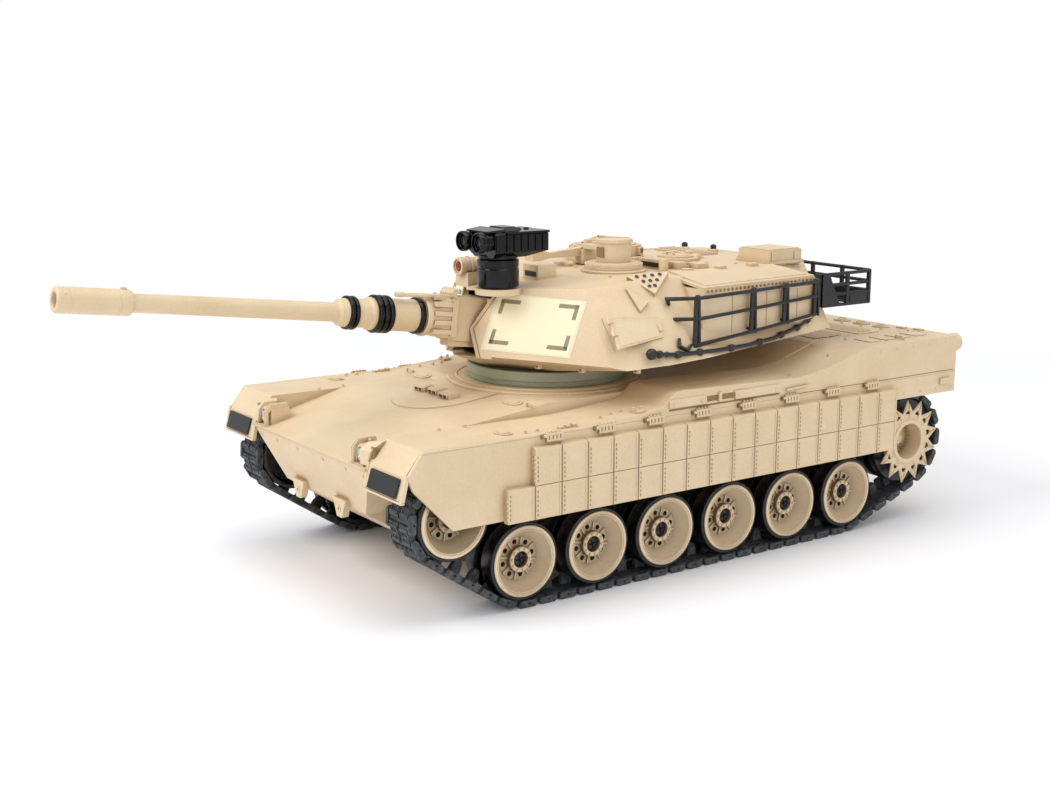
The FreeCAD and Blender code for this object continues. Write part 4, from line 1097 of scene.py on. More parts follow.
def armour_tile(skirt, front, width, low, high, sloped):
    """One armour box: chamfered rim, a raised rib at its rear edge and a row of cast marks in front, each a
    raised dash beside a dark dash of painted shade.
    """
    foot, face, rib = 97.3, 101.15, 101.45
    rear = front + width
    drop = 1.5 if sloped else 0.25
    skirt.loft([upright(foot, front, rear, low, high),
                upright(face - 0.35, front, rear, low, high - drop * 0.5),
                upright(face, front + 0.3, rear - 0.3, low + 0.25, high - drop)])
    skirt.box((face - 0.3, rear - 1.55, low + 1.0), (rib, rear - 0.85, high - drop - 0.6))
    for k in range(int((high - low - 3) / MARK_PITCH)):
        z = low + 1.7 + MARK_PITCH * k
        # Painted shade: a dark dash beside each raised mark.
        skirt.box((face - 0.2, front + 0.85, z), (face + 0.04, front + 1.45, z + 1.4), 1)
        skirt.box((face - 0.2, front + 1.45, z - 0.1), (face + 0.2, front + 1.9, z + 1.5))


def hinge_block(skirt, y):
    """A slotted hinge over the skirt's top edge with its pin towards the front; the slots and the collar at
    the pin's front end are in the darker sand, painted shade.
    """
    near, out, low, high = 97.5, 99.15, 84.0, 89.0
    skirt.loft([upright(near, y - 5, y + 5, low, high), upright(out, y - 5, y + 5, low + 0.3, high - 0.9)])
    for k in range(4):
        start = y - 4.0 + 2.2 * k
        # Painted shade: each slot is a dark strip on the hinge's face.
        skirt.box((out - 0.3, start, low + 1.3), (out + 0.04, start + 0.85, low + 3.5), 1)
        skirt.box((near, start + 0.1, high - 0.4), (out - 0.5, start + 1.1, high + 0.35))
    skirt.rod([(98.3, y - 7.2, high - 1.9), (98.3, y - 4.8, high - 1.9)], 0.85, 0, 10)
    # Painted shade: the collar at the pin's front end.
    skirt.rod([(98.3, y - 7.8, high - 1.9), (98.3, y - 7.0, high - 1.9)], 1.25, 1, 10)


def make_skirts():
    """Side panels with two rows of armour boxes and eight hinges each."""
    front, rear, pitch, gap, row_line = -119.0, 136.0, 16.0, 0.4, 64.0
    panel = ((-188.2, 77), (-185, 70), (-163.8, 48.2), (134.5, 48.2), (136, 75.2), (190, 75.2),
             (190, 87.1), (-180.5, 87.1))
    for side_name, side in SIDES:
        skirt = Shape()
        skirt.prism(panel, 95.35, 97.4, 0, ALONG_X)
        for start, count, low, high, sloped in ((front, 16, row_line, 83.0, True),
                                                (front - pitch, 17, 47.05, row_line, False)):
            for k in range(count):
                y = start + pitch * k
                width = pitch - gap if k < count - 1 else rear - y
                armour_tile(skirt, y, width, low, high, sloped)
        for k in range(8):
            hinge_block(skirt, -106 + 2 * pitch * k)
        for y, low, high in ((front, 66, 81), (front - pitch, 49, 62)):
            for k in range(int((high - low) / MARK_PITCH)):
                z = low + MARK_PITCH * k
                # Painted shade: a dark dash beside each bump.
                skirt.box((98.7, y - 0.05, z), (99.3, y + 0.3, z + 1.1), 1)
                skirt.dome(0.8, at((100.1, y, z + 0.5), (0, -1, 0)), 0, 8)
        for y in (146, 160, 174, 186):
            skirt.dome(0.8, at((97.4, y, 78), (1, 0, 0)), 0, 12)
        skirt.box((97.3, 176, 80.5), (98.6, 184, 84.0))
        skirt.copies([Matrix.Scale(side, 4, (1, 0, 0))])
        skirt.piece("armour_skirt_" + side_name, "hull", (SAND, SHADE), 0.12,
                    ("side_skirt_" + side_name,))


def make_hull():
    refined("lower_hull", SAND, 0.5)
    refined("upper_hull", SAND, 0.6)
    for build in (deck_seams, turret_collar, driver_hatch, deck_fittings, engine_deck, side_boxes, tail_lamps,
                  tail_plate, head_lamps, lens_covers, mud_flap_frames, tow_lugs, make_skirts):
        build()


# ---------------------------------------------------------------- turret

SHELL = "turret_shell"
CHEEK = plane_place((15.5, -95.7, 113), (0.53, -1, 0.345))
FLANK = plane_place((97, -30, 112.5), (1, -0.05, 0.8))


def shrunk(corners, share):
    """Corners moved towards their middle."""
    middle = Vector((0, 0))
    for corner in corners:
        middle += Vector(corner) / len(corners)
    return [tuple(middle.lerp(Vector(corner), share)) for corner in corners]


def cheek_noses():
    """The pointed front edges of the cheeks beside the gun shield, with their seams; a dark line of painted
    shade runs inside each seam.
    """
    nose = Shape()
    tip, top, foot = (-7.0, 14.3), (5.2, 34.1), (-0.6, -1.2)
    nose.prism((tip, foot, (8, -1.2), (12, 34.1), top), -3.2, 0.04, 0, CHEEK)
    inset = Vector((1.9, 0))
    line = [CHEEK @ Vector((*(Vector(p) + inset), 0.05)) for p in (foot, tip, top)]
    # Painted shade: a dark line standing for the groove inside the seam.
    nose.rod(line, 0.28, 1, 8)
    nose.rod([CHEEK @ Vector((*p, 0.0)) for p in (foot, tip, top)], 0.45, 0, 8)
    both_sides(nose)
    nose.piece("cheek_noses", "turret", (SAND, SHADE), 0.2)


def cheek_panels():
    """Plain recognition panels: a cream sheet with a paler rim and four corner brackets."""
    sheet = Shape()
    rim = ((6.5, 34.5), (0.6, 3.4), (53.1, 2.9), (58.7, 33.1))
    sheet.prism(rim, -0.1, 0.14, 0, CHEEK)
    sheet.prism(shrunk(rim, 0.94), -0.1, 0.2, 1, CHEEK)
    corners = [Vector(p) for p in ((9.7, 31.2), (5.0, 7.0), (50.7, 6.6), (54.9, 30.7))]
    wide, along, down = 2.2, 11.5, 8.0
    for k, corner in enumerate(corners):
        across = (corners[3 - k] - corner).normalized()
        inward = (corners[(1, 0, 3, 2)[k]] - corner).normalized()
        for length, height in ((along, wide), (wide, down)):
            foot, side = across * length, inward * height
            outline = (corner, corner + foot, corner + foot + side, corner + side)
            sheet.prism([tuple(p) for p in outline], -0.1, 0.26, 2, CHEEK)
    both_sides(sheet)
    sheet.piece("cheek_panels", "turret", (CREAM_EDGE, CREAM, BRACKET), 0, slot="sand_plastic")


def flank_doors():
    """A stowage door low on each flank, hinged at its front edge."""
    door = Shape()
    outline = ((-28, 30.4), (-29.1, 13.2), (0.4, 17.1), (4.5, 28.2))
    door.prism(outline, -0.5, 0.75, 0, FLANK)
    door.prism(shrunk(outline, 0.86), -0.5, 1.0, 0, FLANK)
    for v in (29.2, 21.8, 14.4):
        ends = [FLANK @ Vector((-28.8, v + d, 0.8)) for d in (-1.5, 1.5)]
        door.rod(ends, 1.0, 0, 10)
        door.box((-28.6, v - 1.2, 0.2), (-26.4, v + 1.2, 1.3), 0, FLANK)
    place = FLANK @ Matrix.Translation((0.6, 22.5, 0))
    door.box((-0.8, -2.0, 0.3), (0.8, 2.0, 1.9), 0, place)
    # Painted shade: a dark line in the joint ahead of the hinge.
    door.rod([FLANK @ Vector((-31.5, v, 0.2)) for v in (12.0, 31.5)], 0.22, 1, 6)
    both_sides(door)
    door.piece("flank_doors", "turret", (SAND, SHADE), 0.2)


def launcher_place(corners):
    """A place in the launcher's face, its own Z looking out of the face."""
    a, b, c = corners
    normal = (b - a).cross(c - a).normalized()
    if normal.z < 0:
        normal = -normal
    return plane_place((a + b + c) / 3, normal)


def smoke_launchers():
    """Three-cornered launcher blocks with nine tube mouths, on a wedge bracket."""
    launcher = Shape()
    corners = [Vector(p) for p in ((60, -32, 155.5), (67, -9, 157), (73, -23, 147))]
    depth = Vector((-7, 6, -9))
    face = [tuple(p) for p in corners]
    launcher.loft([face, [tuple(p + depth) for p in corners]])
    place = launcher_place(corners)
    for row, count in enumerate((4, 3, 2)):
        share = 0.1 + 0.26 * row
        first = corners[0].lerp(corners[2], share)
        last = corners[1].lerp(corners[2], share)
        for k in range(count):
            point = first.lerp(last, (k + 1) / (count + 1))
            hole = Matrix.Translation(point) @ place.to_3x3().to_4x4()
            launcher.turned(((1.15, -0.3), (1.45, -0.3), (1.45, 0.25), (1.15, 0.25)), 18, 0, hole, True)
            # Painted shade: a black disc inside each tube mouth.
            launcher.disc(1.2, -0.3, 0.08, 1, hole, 18)
    bracket = [Vector(p) for p in ((66.8, -38, 149.5), (76.2, -35.6, 138.2), (73.5, -28.0, 142.5))]
    launcher.loft([[tuple(p + Vector((1.2, -0.6, 1.0))) for p in bracket],
                   [tuple(p + Vector((-3.5, 2.0, -3.0))) for p in bracket]])
    both_sides(launcher)
    launcher.piece("launcher_blocks", "turret", (SAND, BLACK), 0.25, ("smoke_launchers",))


def bin_lids():
    """Lids of the stowage bins with a rivet row along the outer edge, and ribs on their walls."""
    lid = Shape()
    front, rear, near, far = -0.5, 80.4, 51.0, 85.6
    plate(lid, SHELL, rectangle(near, far, front, rear), 1.1)
    plate(lid, SHELL, rectangle(near + 3, far - 2.4, front + 3, rear - 3), 1.9)
    for k in range(27):
        y = front + 2.5 + 2.9 * k
        # The rivets are in the darker sand: painted shade under the lid's edge.
        top = on_top(SHELL, far - 0.4, y).translation.z
        lid.dome(0.85, at((86.0, y, top - 1.2), (1, 0, 0)), 1, 8)
    for y in (16, 40, 64):
        lid.box((-2.2, -2.8, 0.0), (2.2, 2.8, 2.1), 0, on_top(SHELL, near + 2.5, y))
    for y, low, high in ((20, 124.4, 147.6), (45, 126, 148), (68, 128, 148.4)):
        lid.box((85.8, y - 0.5, low), (86.5, y + 0.5, high))
    lid.box((85.8, -0.6, 144.6), (86.7, 80.6, 145.4))
    both_sides(lid)
    lid.piece("bin_lids", "turret", (SAND, SHADE), 0.15)


def commander_cupola():
    """Vision blocks, steps and the machine-gun arm round the commander's hatch."""
    ring = Shape()
    x, y, roof = -24.0, 20.0, 153.5
    centre = Matrix.Translation((x, y, 0))
    ring.turned(((19.8, roof - 0.5), (22.6, roof - 0.5), (22.6, roof + 2.4), (22.0, roof + 3.0),
                 (19.8, roof + 3.0)), 64, 0, centre, True)
    ring.turned(((14.2, roof + 8.9), (17.4, roof + 8.9), (17.4, roof + 9.6), (14.8, roof + 9.8),
                 (14.2, roof + 9.6)), 64, 0, centre, True)
    for turn in turns(8, 0.5, centre @ Matrix.Rotation(0.2, 4, "Z")):
        ring.box((18.4, -3.4, roof + 3.4), (22.0, 3.4, roof + 8.0), 0, turn)
        ring.box((21.9, -2.7, roof + 4.4), (22.15, 2.7, roof + 7.2), 1, turn)
    ring.piece("commander_cupola", "turret", (SAND, GLASS_DARK), 0.2)


def weapon_arm():
    """Forked arm and empty cradle in front of the cupola."""
    arm = Shape()
    middle = -11.5
    arm.loft([[(x, y, z) for x, z in rectangle(middle - half, middle + half, low, high)]
              for y, half, low, high in ((-8, 2.5, 158.5, 163.5), (-30, 1.5, 158.5, 161.5),
                                         (-38, 3.5, 157.5, 163.5), (-44, 4.1, 157.5, 164.0))])
    arm.box((-16.5, -10, 154), (-6.5, 4, 162.4))
    arm.loft([[(-8, -9, 162.5), (3, -6, 162.5), (3, -3, 162.5), (-8, -3, 162.5)],
              [(-8, -9, 165.5), (3, -6, 165.0), (3, -3, 165.0), (-8, -3, 165.5)]])
    arm.disc(2.4, 161, 167.2, 0, Matrix.Translation((-14, -1, 0)), 20)
    arm.box((-18, -22, 153.2), (-5, -18, 155.4))
    arm.piece("weapon_arm", "turret", (SAND,), 0.25)


def viewer_tower():
    """Rings and cap of the stepped viewer tower at the front left of the roof."""
    tower = Shape()
    place = Matrix.Translation((24, -12, 153.5))
    tower.turned(((9, -0.4), (17.8, -0.4), (17.8, 0.9), (17.2, 1.4), (9, 1.4)), 64, 0, place, True)
    tower.turned(((9, 4.3), (14.6, 4.3), (14.2, 5.1), (9, 5.1)), 64, 0, place, True)
    tower.turned(((9.3, 15.6), (9.9, 15.6), (9.9, 17.6), (9.5, 17.9), (8.6, 17.9), (8.6, 17.3), (9.3, 17.3)),
                 48, 0, place, True)
    for turn in turns(8, 0, place):
        tower.dome(0.7, turn @ Matrix.Translation((15.4, 0, 4.3)), 0, 8)
    # Painted shade: a dark strip for the slot in the tower's front.
    tower.box((-3.0, -9.7, 8.0), (3.0, -9.2, 13.5), 1, place)
    tower.piece("viewer_tower", "turret", (SAND, SHADE), 0.15)


def roof_fittings():
    """Hatch rings, housings, aerial feet and panel joints on the turret roof."""
    roof = Shape()
    height = 153.5
    loader = Matrix.Translation((22, 34, height))
    roof.turned(((15.3, -0.4), (17.6, -0.4), (17.6, 1.2), (17.1, 1.6), (15.3, 1.6)), 56, 0, loader, True)
    for angle in (0.4, 2.2, 3.9, 5.4):
        turn = loader @ Matrix.Rotation(angle, 4, "Z")
        roof.box((15.0, -2.6, 0), (19.2, 2.6, 3.0), 0, turn)
    roof.box((17.6, 11.4, height - 0.4), (36.2, 17.2, height + 5.2))
    roof.box((18.8, 11.1, height + 1.0), (35.0, 11.6, height + 3.6), 1)
    roof.box((35.9, 12.2, height + 1.2), (36.4, 16.4, height + 3.4), 1)
    roof.box((30, 20, height - 0.4), (40, 27, height + 3.8))
    stud(roof, Matrix.Translation((42.5, 8, height)), 2.5, 7.2)
    stud(roof, Matrix.Translation((15.5, 50, height)), 2.4, 6.5)
    roof.box((34, 30, height - 0.3), (46, 38, height + 3.0))
    roof.box((24, 79, height - 0.3), (51, 107, height + 1.4))
    roof.box((26, 81, height + 7.3), (49, 105, height + 8.1))
    for y in (84, 102):
        roof.box((49.6, y - 2, height + 1.6), (50.6, y + 2, height + 6.6))
    roof.box((4, -57, height + 1.9), (16, -47, height + 2.6))
    roof.box((5, -58.4, height - 1.2), (15, -57.9, height + 1.6), 1)
    for x, y in ((-40, 95), (-19, 100)):
        foot = Matrix.Translation((x, y, height))
        roof.turned(((3.2, -0.3), (3.2, 1.2), (2.0, 1.8)), 20, 0, foot)
        roof.turned(((1.5, 1.5), (1.9, 2.0), (1.9, 3.6), (1.2, 4.4), (0.4, 4.6)), 16, 1, foot)
    for x, y in ((-10, 60), (5, 70), (-48, 60), (38, 66), (-30, -40), (0, -20), (-45, -10), (44, -30),
                 (8, 30), (-8, 84), (12, 92), (-52, 92)):
        stud(roof, on_top(SHELL, x, y), 0.8, 1.1)
    for points in ([(-48, 72), (48, 72)], [(0, 76), (0, 106)], [(-46, -36), (-8, -44), (10, -44), (44, -36)],
                   [(-22, -80), (0, -84), (6, -84)], [(48, -20), (48, 68)], [(-48, -20), (-48, 68)]):
        seam(roof, SHELL, points, 0.25)
    roof.box((-47, 76, height - 0.3), (-6, 92, height + 1.2))
    for k in range(9):
        roof.box((-45 + 4.4 * k, 78, height + 1.0), (-43 + 4.4 * k, 90, height + 1.8), 0)
    roof.piece("roof_fittings", "turret", (SAND, BLACK), 0.18)


def bore_light():
    """Short round housing with a dark red window, on the roof beside the sight."""
    light = Shape()
    place = at((-9, -92, 158), (0, -1, 0))
    light.turned(((4.65, -12), (4.65, -3), (4.95, -2.6), (4.95, 0.4), (4.6, 0.8), (3.7, 0.8), (3.7, -2.0),
                  (2.0, -2.0), (2.0, -12)), 36, 0, place, True)
    light.turned(((3.65, -2.1), (3.65, -0.6), (2.6, 0.1), (0.4, 0.4)), 28, 1, place)
    light.rod([place @ Vector(point) for point in circle(5.0, 28, -6.0)], 0.5, 0, 6, True)
    light.piece("bore_light", "turret", (SAND, RED), 0.12)


def turret_underside():
    """Small brackets under the turret's edge, each with a dark strip of painted shade for a groove in its
    front, and the rings of the turntable.
    """
    under = Shape()
    for x, y in ((40, -74), (62, -62), (80, -40)):
        under.box((x - 1.8, y - 1.2, 107.6), (x + 1.8, y + 1.2, 110.2))
        # Painted shade: a dark strip for the groove in the bracket's front.
        under.box((x - 0.9, y - 1.5, 108.2), (x + 0.9, y - 1.1, 109.4), 1)
    both_sides(under)
    under.piece("turret_brackets", "turret", (SAND, SHADE), 0.2)
    disc = Shape()
    profile = ((36.4, 87.7), (36.4, 95.72), (44.4, 95.72), (44.5, 96.2), (44.5, 97.0), (43.9, 97.3),
               (43.9, 98.4), (44.4, 98.7), (44.4, 103.6), (44.0, 103.9), (12, 103.9), (12, 95.72),
               (28.6, 95.72), (28.6, 87.7))
    disc.turned(profile, 144, 0, Matrix.Translation((0, RING_BEHIND, 0)), True)
    disc.piece("turntable", "turret", (OLIVE,), 0.1, ("turret_base",))


# the side rack's posts: how far back, how far out, the lowest and the highest rail
RACK_STATIONS = ((-10, 92.0, 121.0, 145.5), (31, 90.5, 124.5, 146.3), (56, 89.5, 127.0, 146.9),
                 (80, 88.5, 129.5, 147.5))


def rack_rail(share):
    """Points of a side rail at a share of the rack's height."""
    return [Vector((x, y, low + (high - low) * share)) for y, x, low, high in RACK_STATIONS]


def side_rack():
    """Tube rails on paired flat posts, turned in at the front, outside each bin."""
    rack = Shape()
    inward = Vector((-15.5, -8, -1.5))
    low, middle, high = rack_rail(0.0), rack_rail(0.56), rack_rail(1.0)
    for rail in (high, middle):
        front = rail[0]
        rack.rod([front + inward + Vector((-1.0, 2.5, -3.2)), front + inward, front + inward * 0.12,
                  front + Vector((0, 2.0, 0))] + rail[1:], 0.95, 0, 12)
    rack.rod([low[0] + Vector((-4, -2.5, -1.0))] + low, 0.95, 0, 12)
    for y, x, floor, top in RACK_STATIONS:
        for shift, lean, wide in ((-1.2, 0.6, 1.0), (2.0, -1.0, 0.62)):
            foot = Vector((x - 0.5, y + shift, floor - 1.2))
            head = Vector((x - 0.5, y + shift + lean, top + 1.0))
            rack.loft([moved(level(-0.8, 0.8, -wide, wide, 0), end) for end in (foot, head)])
        rack.turned(((1.5, -1.0), (1.5, 0.4), (0.9, 1.1)), 12, 0, Matrix.Translation((x - 0.3, y, top + 0.7)))
        rack.rod([(x - 0.3, y, floor + 1), (x - 8.5, y, floor + 1)], 0.9, 0, 8)
    gusset = ((90.8, -10.5, 121.0), (82.0, -16.5, 122.5), (84.0, -10.0, 129.0))
    rack.loft([gusset, moved(gusset, (0, 1.3, 0))])
    both_sides(rack)
    rack.piece("side_rack_rails", "turret", (BLACK,), 0.1, ("side_racks",))


def rear_basket():
    """Basket of tube loops behind the turret, with corner plates and a low tray."""
    basket = Shape()
    half, front, rear, bend = 71.8, 101.5, 142.8, 2.5
    foot, floor, head, tray = 129, 129.8, 148.8, 129.4
    for z in (floor, 136.0, 141.6, 147.8):
        basket.rod([(half, front, z), (half, rear - bend, z), (half - bend, rear, z), (bend - half, rear, z),
                    (-half, rear - bend, z), (-half, front, z)], 0.95, 0, 12)
    for x in (-48, -24, 0, 24, 48):
        basket.box((x - 1.1, rear - 0.9, foot), (x + 1.1, rear + 0.9, head))
        basket.rod([(x, front, floor), (x, rear, floor)], 0.85, 0, 8)
    for x in (-half, half):
        basket.box((x - 1.1, rear - 3.9, foot), (x + 1.1, rear - 2.1, head))
        basket.box((x - 0.9, 120.9, foot), (x + 0.9, 123.1, head))
    for y in (111, 120, 129, 136):
        basket.rod([(-half, y, floor), (half, y, floor)], 0.7, 0, 8)
    for side in (1, -1):
        corner = [(side * x, front, z) for x, z in ((60, tray), (72.4, tray), (72.4, 148), (66, 148))]
        basket.loft([corner, moved(corner, (0, 1.4, 0))])
        basket.loft([level(side * 71.0, side * 72.6, front, 116, tray),
                     level(side * 71.0, side * 72.6, front, 107, 147.6)])
        near, far = sorted((side * 71.2, side * 72.4))
        basket.box((near, 124, tray), (far, 141, 135.8))
    basket.box((-70, rear - 0.6, tray), (70, rear + 0.6, 135.8))
    basket.piece("basket_tubes", "turret", (BLACK,), 0.1, ("rear_basket",))


def cable_point(y, z):
    """On the flank's slope, a little clear of it."""
    return Vector((97 - 0.8 * (z - 112.5) - 0.19 * max(0.0, y) + 2.0, y, z))


def tow_cables():
    """A cable with a moulded eye along each flank, held by clips."""
    cable = Shape()
    path = [cable_point(y, z) for y, z in ((-41, 119.5), (-25, 118.0), (2, 117.6), (28, 117.2), (52, 118.0),
                                           (78, 121.0), (96, 125.0))]
    cable.rod(path, 1.05, 0, 12)
    along = (path[1] - path[0]).normalized()
    for distance, radius in ((-0.6, 3.0), (4.4, 2.1), (9.0, 1.5)):
        place = at(path[0] + along * distance, along)
        profile = [(radius * math.sin(math.pi * k / 10), -radius * math.cos(math.pi * k / 10))
                   for k in range(1, 10)]
        cable.turned(profile, 20, 0, place)
    for first, share in ((1, 0.0), (1, 0.55), (2, 0.45), (3, 0.45), (4, 0.3), (4, 0.95), (5, 0.6)):
        way = (path[first + 1] - path[first]).normalized()
        place = at(path[first].lerp(path[first + 1], share), way)
        cable.turned(((1.2, -1.9), (1.85, -1.0), (1.95, 0), (1.85, 1.0), (1.2, 1.9)), 16, 0, place)
    for first, share in ((2, 0.45), (4, 0.3)):
        point = path[first].lerp(path[first + 1], share)
        cable.box((-1.2, -1.0, -3.2), (1.2, 1.0, 0.0), 0, plane_place(point, (1, 0, 0.8)))
    hook = [cable_point(-20, 125), cable_point(-22, 121.5), cable_point(-18, 119.5), cable_point(-14, 121.5)]
    cable.rod([p + Vector((0.4, 0, 0)) for p in hook], 0.9, 0, 10)
    both_sides(cable)
    cable.piece("tow_cable_pair", "turret", (BLACK,), 0, ("tow_cables",))


def hatch_lids():
    """Details of the two moving hatch lids: a rim, a handle and a ring of screws."""
    handle = ((-3, -3.5, -0.3), (-3, -3.5, 1.5), (3, -3.5, 1.5), (3, -3.5, -0.3))
    for node in ("commander_hatch", "loader_hatch"):
        body = frame["nodes"][node]["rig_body"]
        refined(node, SAND, 0.3)
        low, high = box_of(node)
        centre = Vector((middle_of(node).x, low.y + 13, high.z))
        lid = Shape()
        rim = ((7.4, -0.3), (8.6, -0.3), (8.4, 0.5), (7.6, 0.5))
        lid.turned(rim, 40, 0, Matrix.Translation(centre), True)
        lid.rod(moved(handle, centre), 0.5, 0, 8)
        for turn in turns(6, 0.5):
            lid.dome(0.55, Matrix.Translation(centre + turn @ Vector((5.6, 0, 0))), 0, 8)
        lid.piece(node + "_details", body, (SAND,), 0.1)


def make_turret():
    refined(SHELL, SAND, 0.7)
    for build in (cheek_noses, cheek_panels, flank_doors, smoke_launchers, bin_lids, commander_cupola,
                  weapon_arm, viewer_tower, roof_fittings, bore_light, turret_underside, side_rack,
                  rear_basket, tow_cables, hatch_lids):
        build()


# ---------------------------------------------------------------- gun

# how far the barrel points up at rest
GUN_TILT = math.radians(7.05)


def gun_place():
    """On the trunnion at rest: own -Y runs along the barrel, own Z stands up from it."""
    rise, run = math.sin(GUN_TILT), math.cos(GUN_TILT)
    axes = Matrix(((1, 0, 0), (0, run, -rise), (0, rise, run))).transposed().to_4x4()
    return Matrix.Translation(joint_point("gun_elevation")) @ axes


def bore_place():
    """On the trunnion at rest: own Z runs ahead along the bore."""
    return gun_place() @ Matrix.Rotation(math.pi / 2, 4, "X")


def make_mantlet():
    """The gun shield: a hidden rear block, a rounded post, a ribbed neck and a hood."""
    place = gun_place()
    shield = Shape()
    shield.box((-14.6, -12, -11.5), (14.6, 10, 11.5), 0, place)
    shield.disc(2.95, -20, 20, 0, place @ Matrix.Rotation(math.pi / 2, 4, "Y"), 24)
    half, corner, bend, rear, steps = 7.0, 3.4, -31, -10, 5
    angles = [math.pi / 2 * k / steps for k in range(steps + 1)]
    outline = [(-half, rear), (-half, bend)]
    outline += [(-half + corner - corner * math.cos(angle), bend - corner * math.sin(angle))
                for angle in angles[1:]]
    outline += [(half - corner + corner * math.sin(angle), bend - corner * math.cos(angle))
                for angle in angles]
    outline.append((half, rear))
    shield.prism(outline, -11.8, 11.5, 0, place)
    shield.prism([(x * 0.82, y + 2.0) for x, y in outline], -15.0, -11.6, 0, place)
    shield.prism([(x, y) for x, y in outline if y < -30], 11.4, 13.2, 0, place)
    barrel = bore_place()
    shield.loft([[(x, y, 31) for x, y in rounded_square(8.6, 10.6, 3.0)],
                 [(x, y, 37) for x, y in rounded_square(9.6, 10.8, 4.5)],
                 [(x, y, 44) for x, y in rounded_square(9.7, 9.9, 8.0)],
                 [(x, y, 48.8) for x, y in rounded_square(9.6, 9.6, 9.3)]], 0, barrel)
    for side in (-1, 1):
        for k, z in enumerate((-8.2, -3.4, 1.4, 6.2)):
            near, far = sorted((side * 8.2, side * 10.7))
            shield.box((near, -45.5, z), (far, -35.0, z + 2.4), 0, place)
        near, far = sorted((side * 8.4, side * 9.9))
        shield.box((near, -34.6, -9.5), (far, -31.2, 10.0), 0, place)
    for k in range(5):
        shield.box((-7.6 + 3.2 * k, -45.0, 9.4), (-5.6 + 3.2 * k, -35.0, 11.4), 0, place)
    shield.turned(((9.2, 45.8), (10.2, 45.8), (10.5, 46.4), (10.5, 48.4), (10.2, 49.2), (9.2, 49.2)), 64, 0,
                  barrel, True)
    shield.loft([level(-6.2, 6.2, -28.6, -34.2, 13.1),
                 [(-4.6, -29.2, 15.6), (4.6, -29.2, 15.6), (4.6, -31.6, 15.0), (-4.6, -31.6, 15.0)]],
                0, place)
    for x in (-4.2, 4.2):
        stud(shield, place @ Matrix.Translation((x, -38, 10.6)), 0.8, 1.9)
    for ends, radius in ((((5.6, -30, 11.5), (5.6, -63.4, 11.1)), 1.1),
                         (((5.6, -63, 11.1), (5.6, -67.6, 11.1)), 1.35)):
        shield.rod([place @ Vector(p) for p in ends], radius, 0, 14)
    shield.piece("gun_shield", "gun", (SAND,), 0.3, ("mantlet",))


def rounded_square(half_x, half_y, radius):
    """Outline of a rounded rectangle, counter-clockwise."""
    points, steps = [], 6
    for quarter, (x, y) in enumerate(((1, 1), (-1, 1), (-1, -1), (1, -1))):
        for k in range(steps + 1):
            angle = math.pi / 2 * (quarter + k / steps)
            points.append((x * (half_x - radius) + radius * math.cos(angle),
                           y * (half_y - radius) + radius * math.sin(angle)))
    return points


def make_barrel():
    """Stepped sleeves, tapering tube and muzzle sleeve with an open bore."""
    place = bore_place()
    barrel = Shape()
    sleeves = ((3.6, 44), (8.9, 44), (8.9, 49.4), (8.5, 49.8), (8.5, 66.2), (8.7, 66.6), (8.7, 67.8),
               (8.4, 68.2), (8.4, 78.2), (8.6, 78.6), (8.5, 80.2), (7.5, 81.2), (7.3, 94.6), (6.9, 95.4),
               (6.8, 97.2), (5.7, 98.4), (4.95, 98.8), (4.9, 100))
    muzzle = ((4.5, 204.6), (4.7, 205.2), (5.9, 206.2), (6.15, 206.8), (6.2, 211.4), (6.0, 211.6),
              (6.0, 212.2), (6.2, 212.4), (6.2, 234.6), (6.0, 234.8), (6.0, 235.6), (6.2, 235.8),
              (6.2, 240.7), (5.6, 241.5), (3.9, 241.5), (3.6, 241.0))
    barrel.turned(sleeves + muzzle, 72, 0, place, True)
    # Painted shade: a black disc deep in the bore for the dark inside of the tube.
    barrel.disc(3.7, 212, 214, 1, place, 48)
    for angle in (0.6, 2.9, 4.4):
        out = place @ Matrix.Rotation(angle, 4, "Z") @ Matrix.Translation((6.0, 0, 238.0))
        barrel.dome(0.9, out @ Matrix.Rotation(math.pi / 2, 4, "Y"), 0, 12)
    top = place @ Matrix.Translation((0, 5.9, 209.4)) @ Matrix.Rotation(-math.pi / 2, 4, "X")
    barrel.block((1.8, 3.0, 1.4), 0, top, 0.8)
    barrel.piece("barrel_sleeves", "gun", (SAND, BLACK), 0.12, ("gun_barrel",))


def make_bands():
    """Glossy clamping rings on the sleeves: one, a set of three and a pair."""
    place, edge = bore_place(), 0.7
    bands = Shape()
    for low, high, inner, outer in ((49.6, 52.9, 8.2, 9.65), (68.6, 71.4, 8.1, 9.9), (71.8, 74.6, 8.1, 9.9),
                                    (75.0, 77.8, 8.1, 9.9), (88.2, 90.6, 7.0, 8.7), (91.0, 93.4, 7.0, 8.7)):
        bands.turned(((inner, low), (outer - edge, low), (outer - 0.2, low + 0.25), (outer, low + edge),
                      (outer, high - edge), (outer - 0.2, high - 0.25), (outer - edge, high), (inner, high)),
                     64, 0, place, True)
    bands.piece("clamp_rings", "gun", (GLOSS,), 0, ("barrel_bands",))


def make_gun():
    make_mantlet()
    make_barrel()
    make_bands()


# ---------------------------------------------------------------- sight

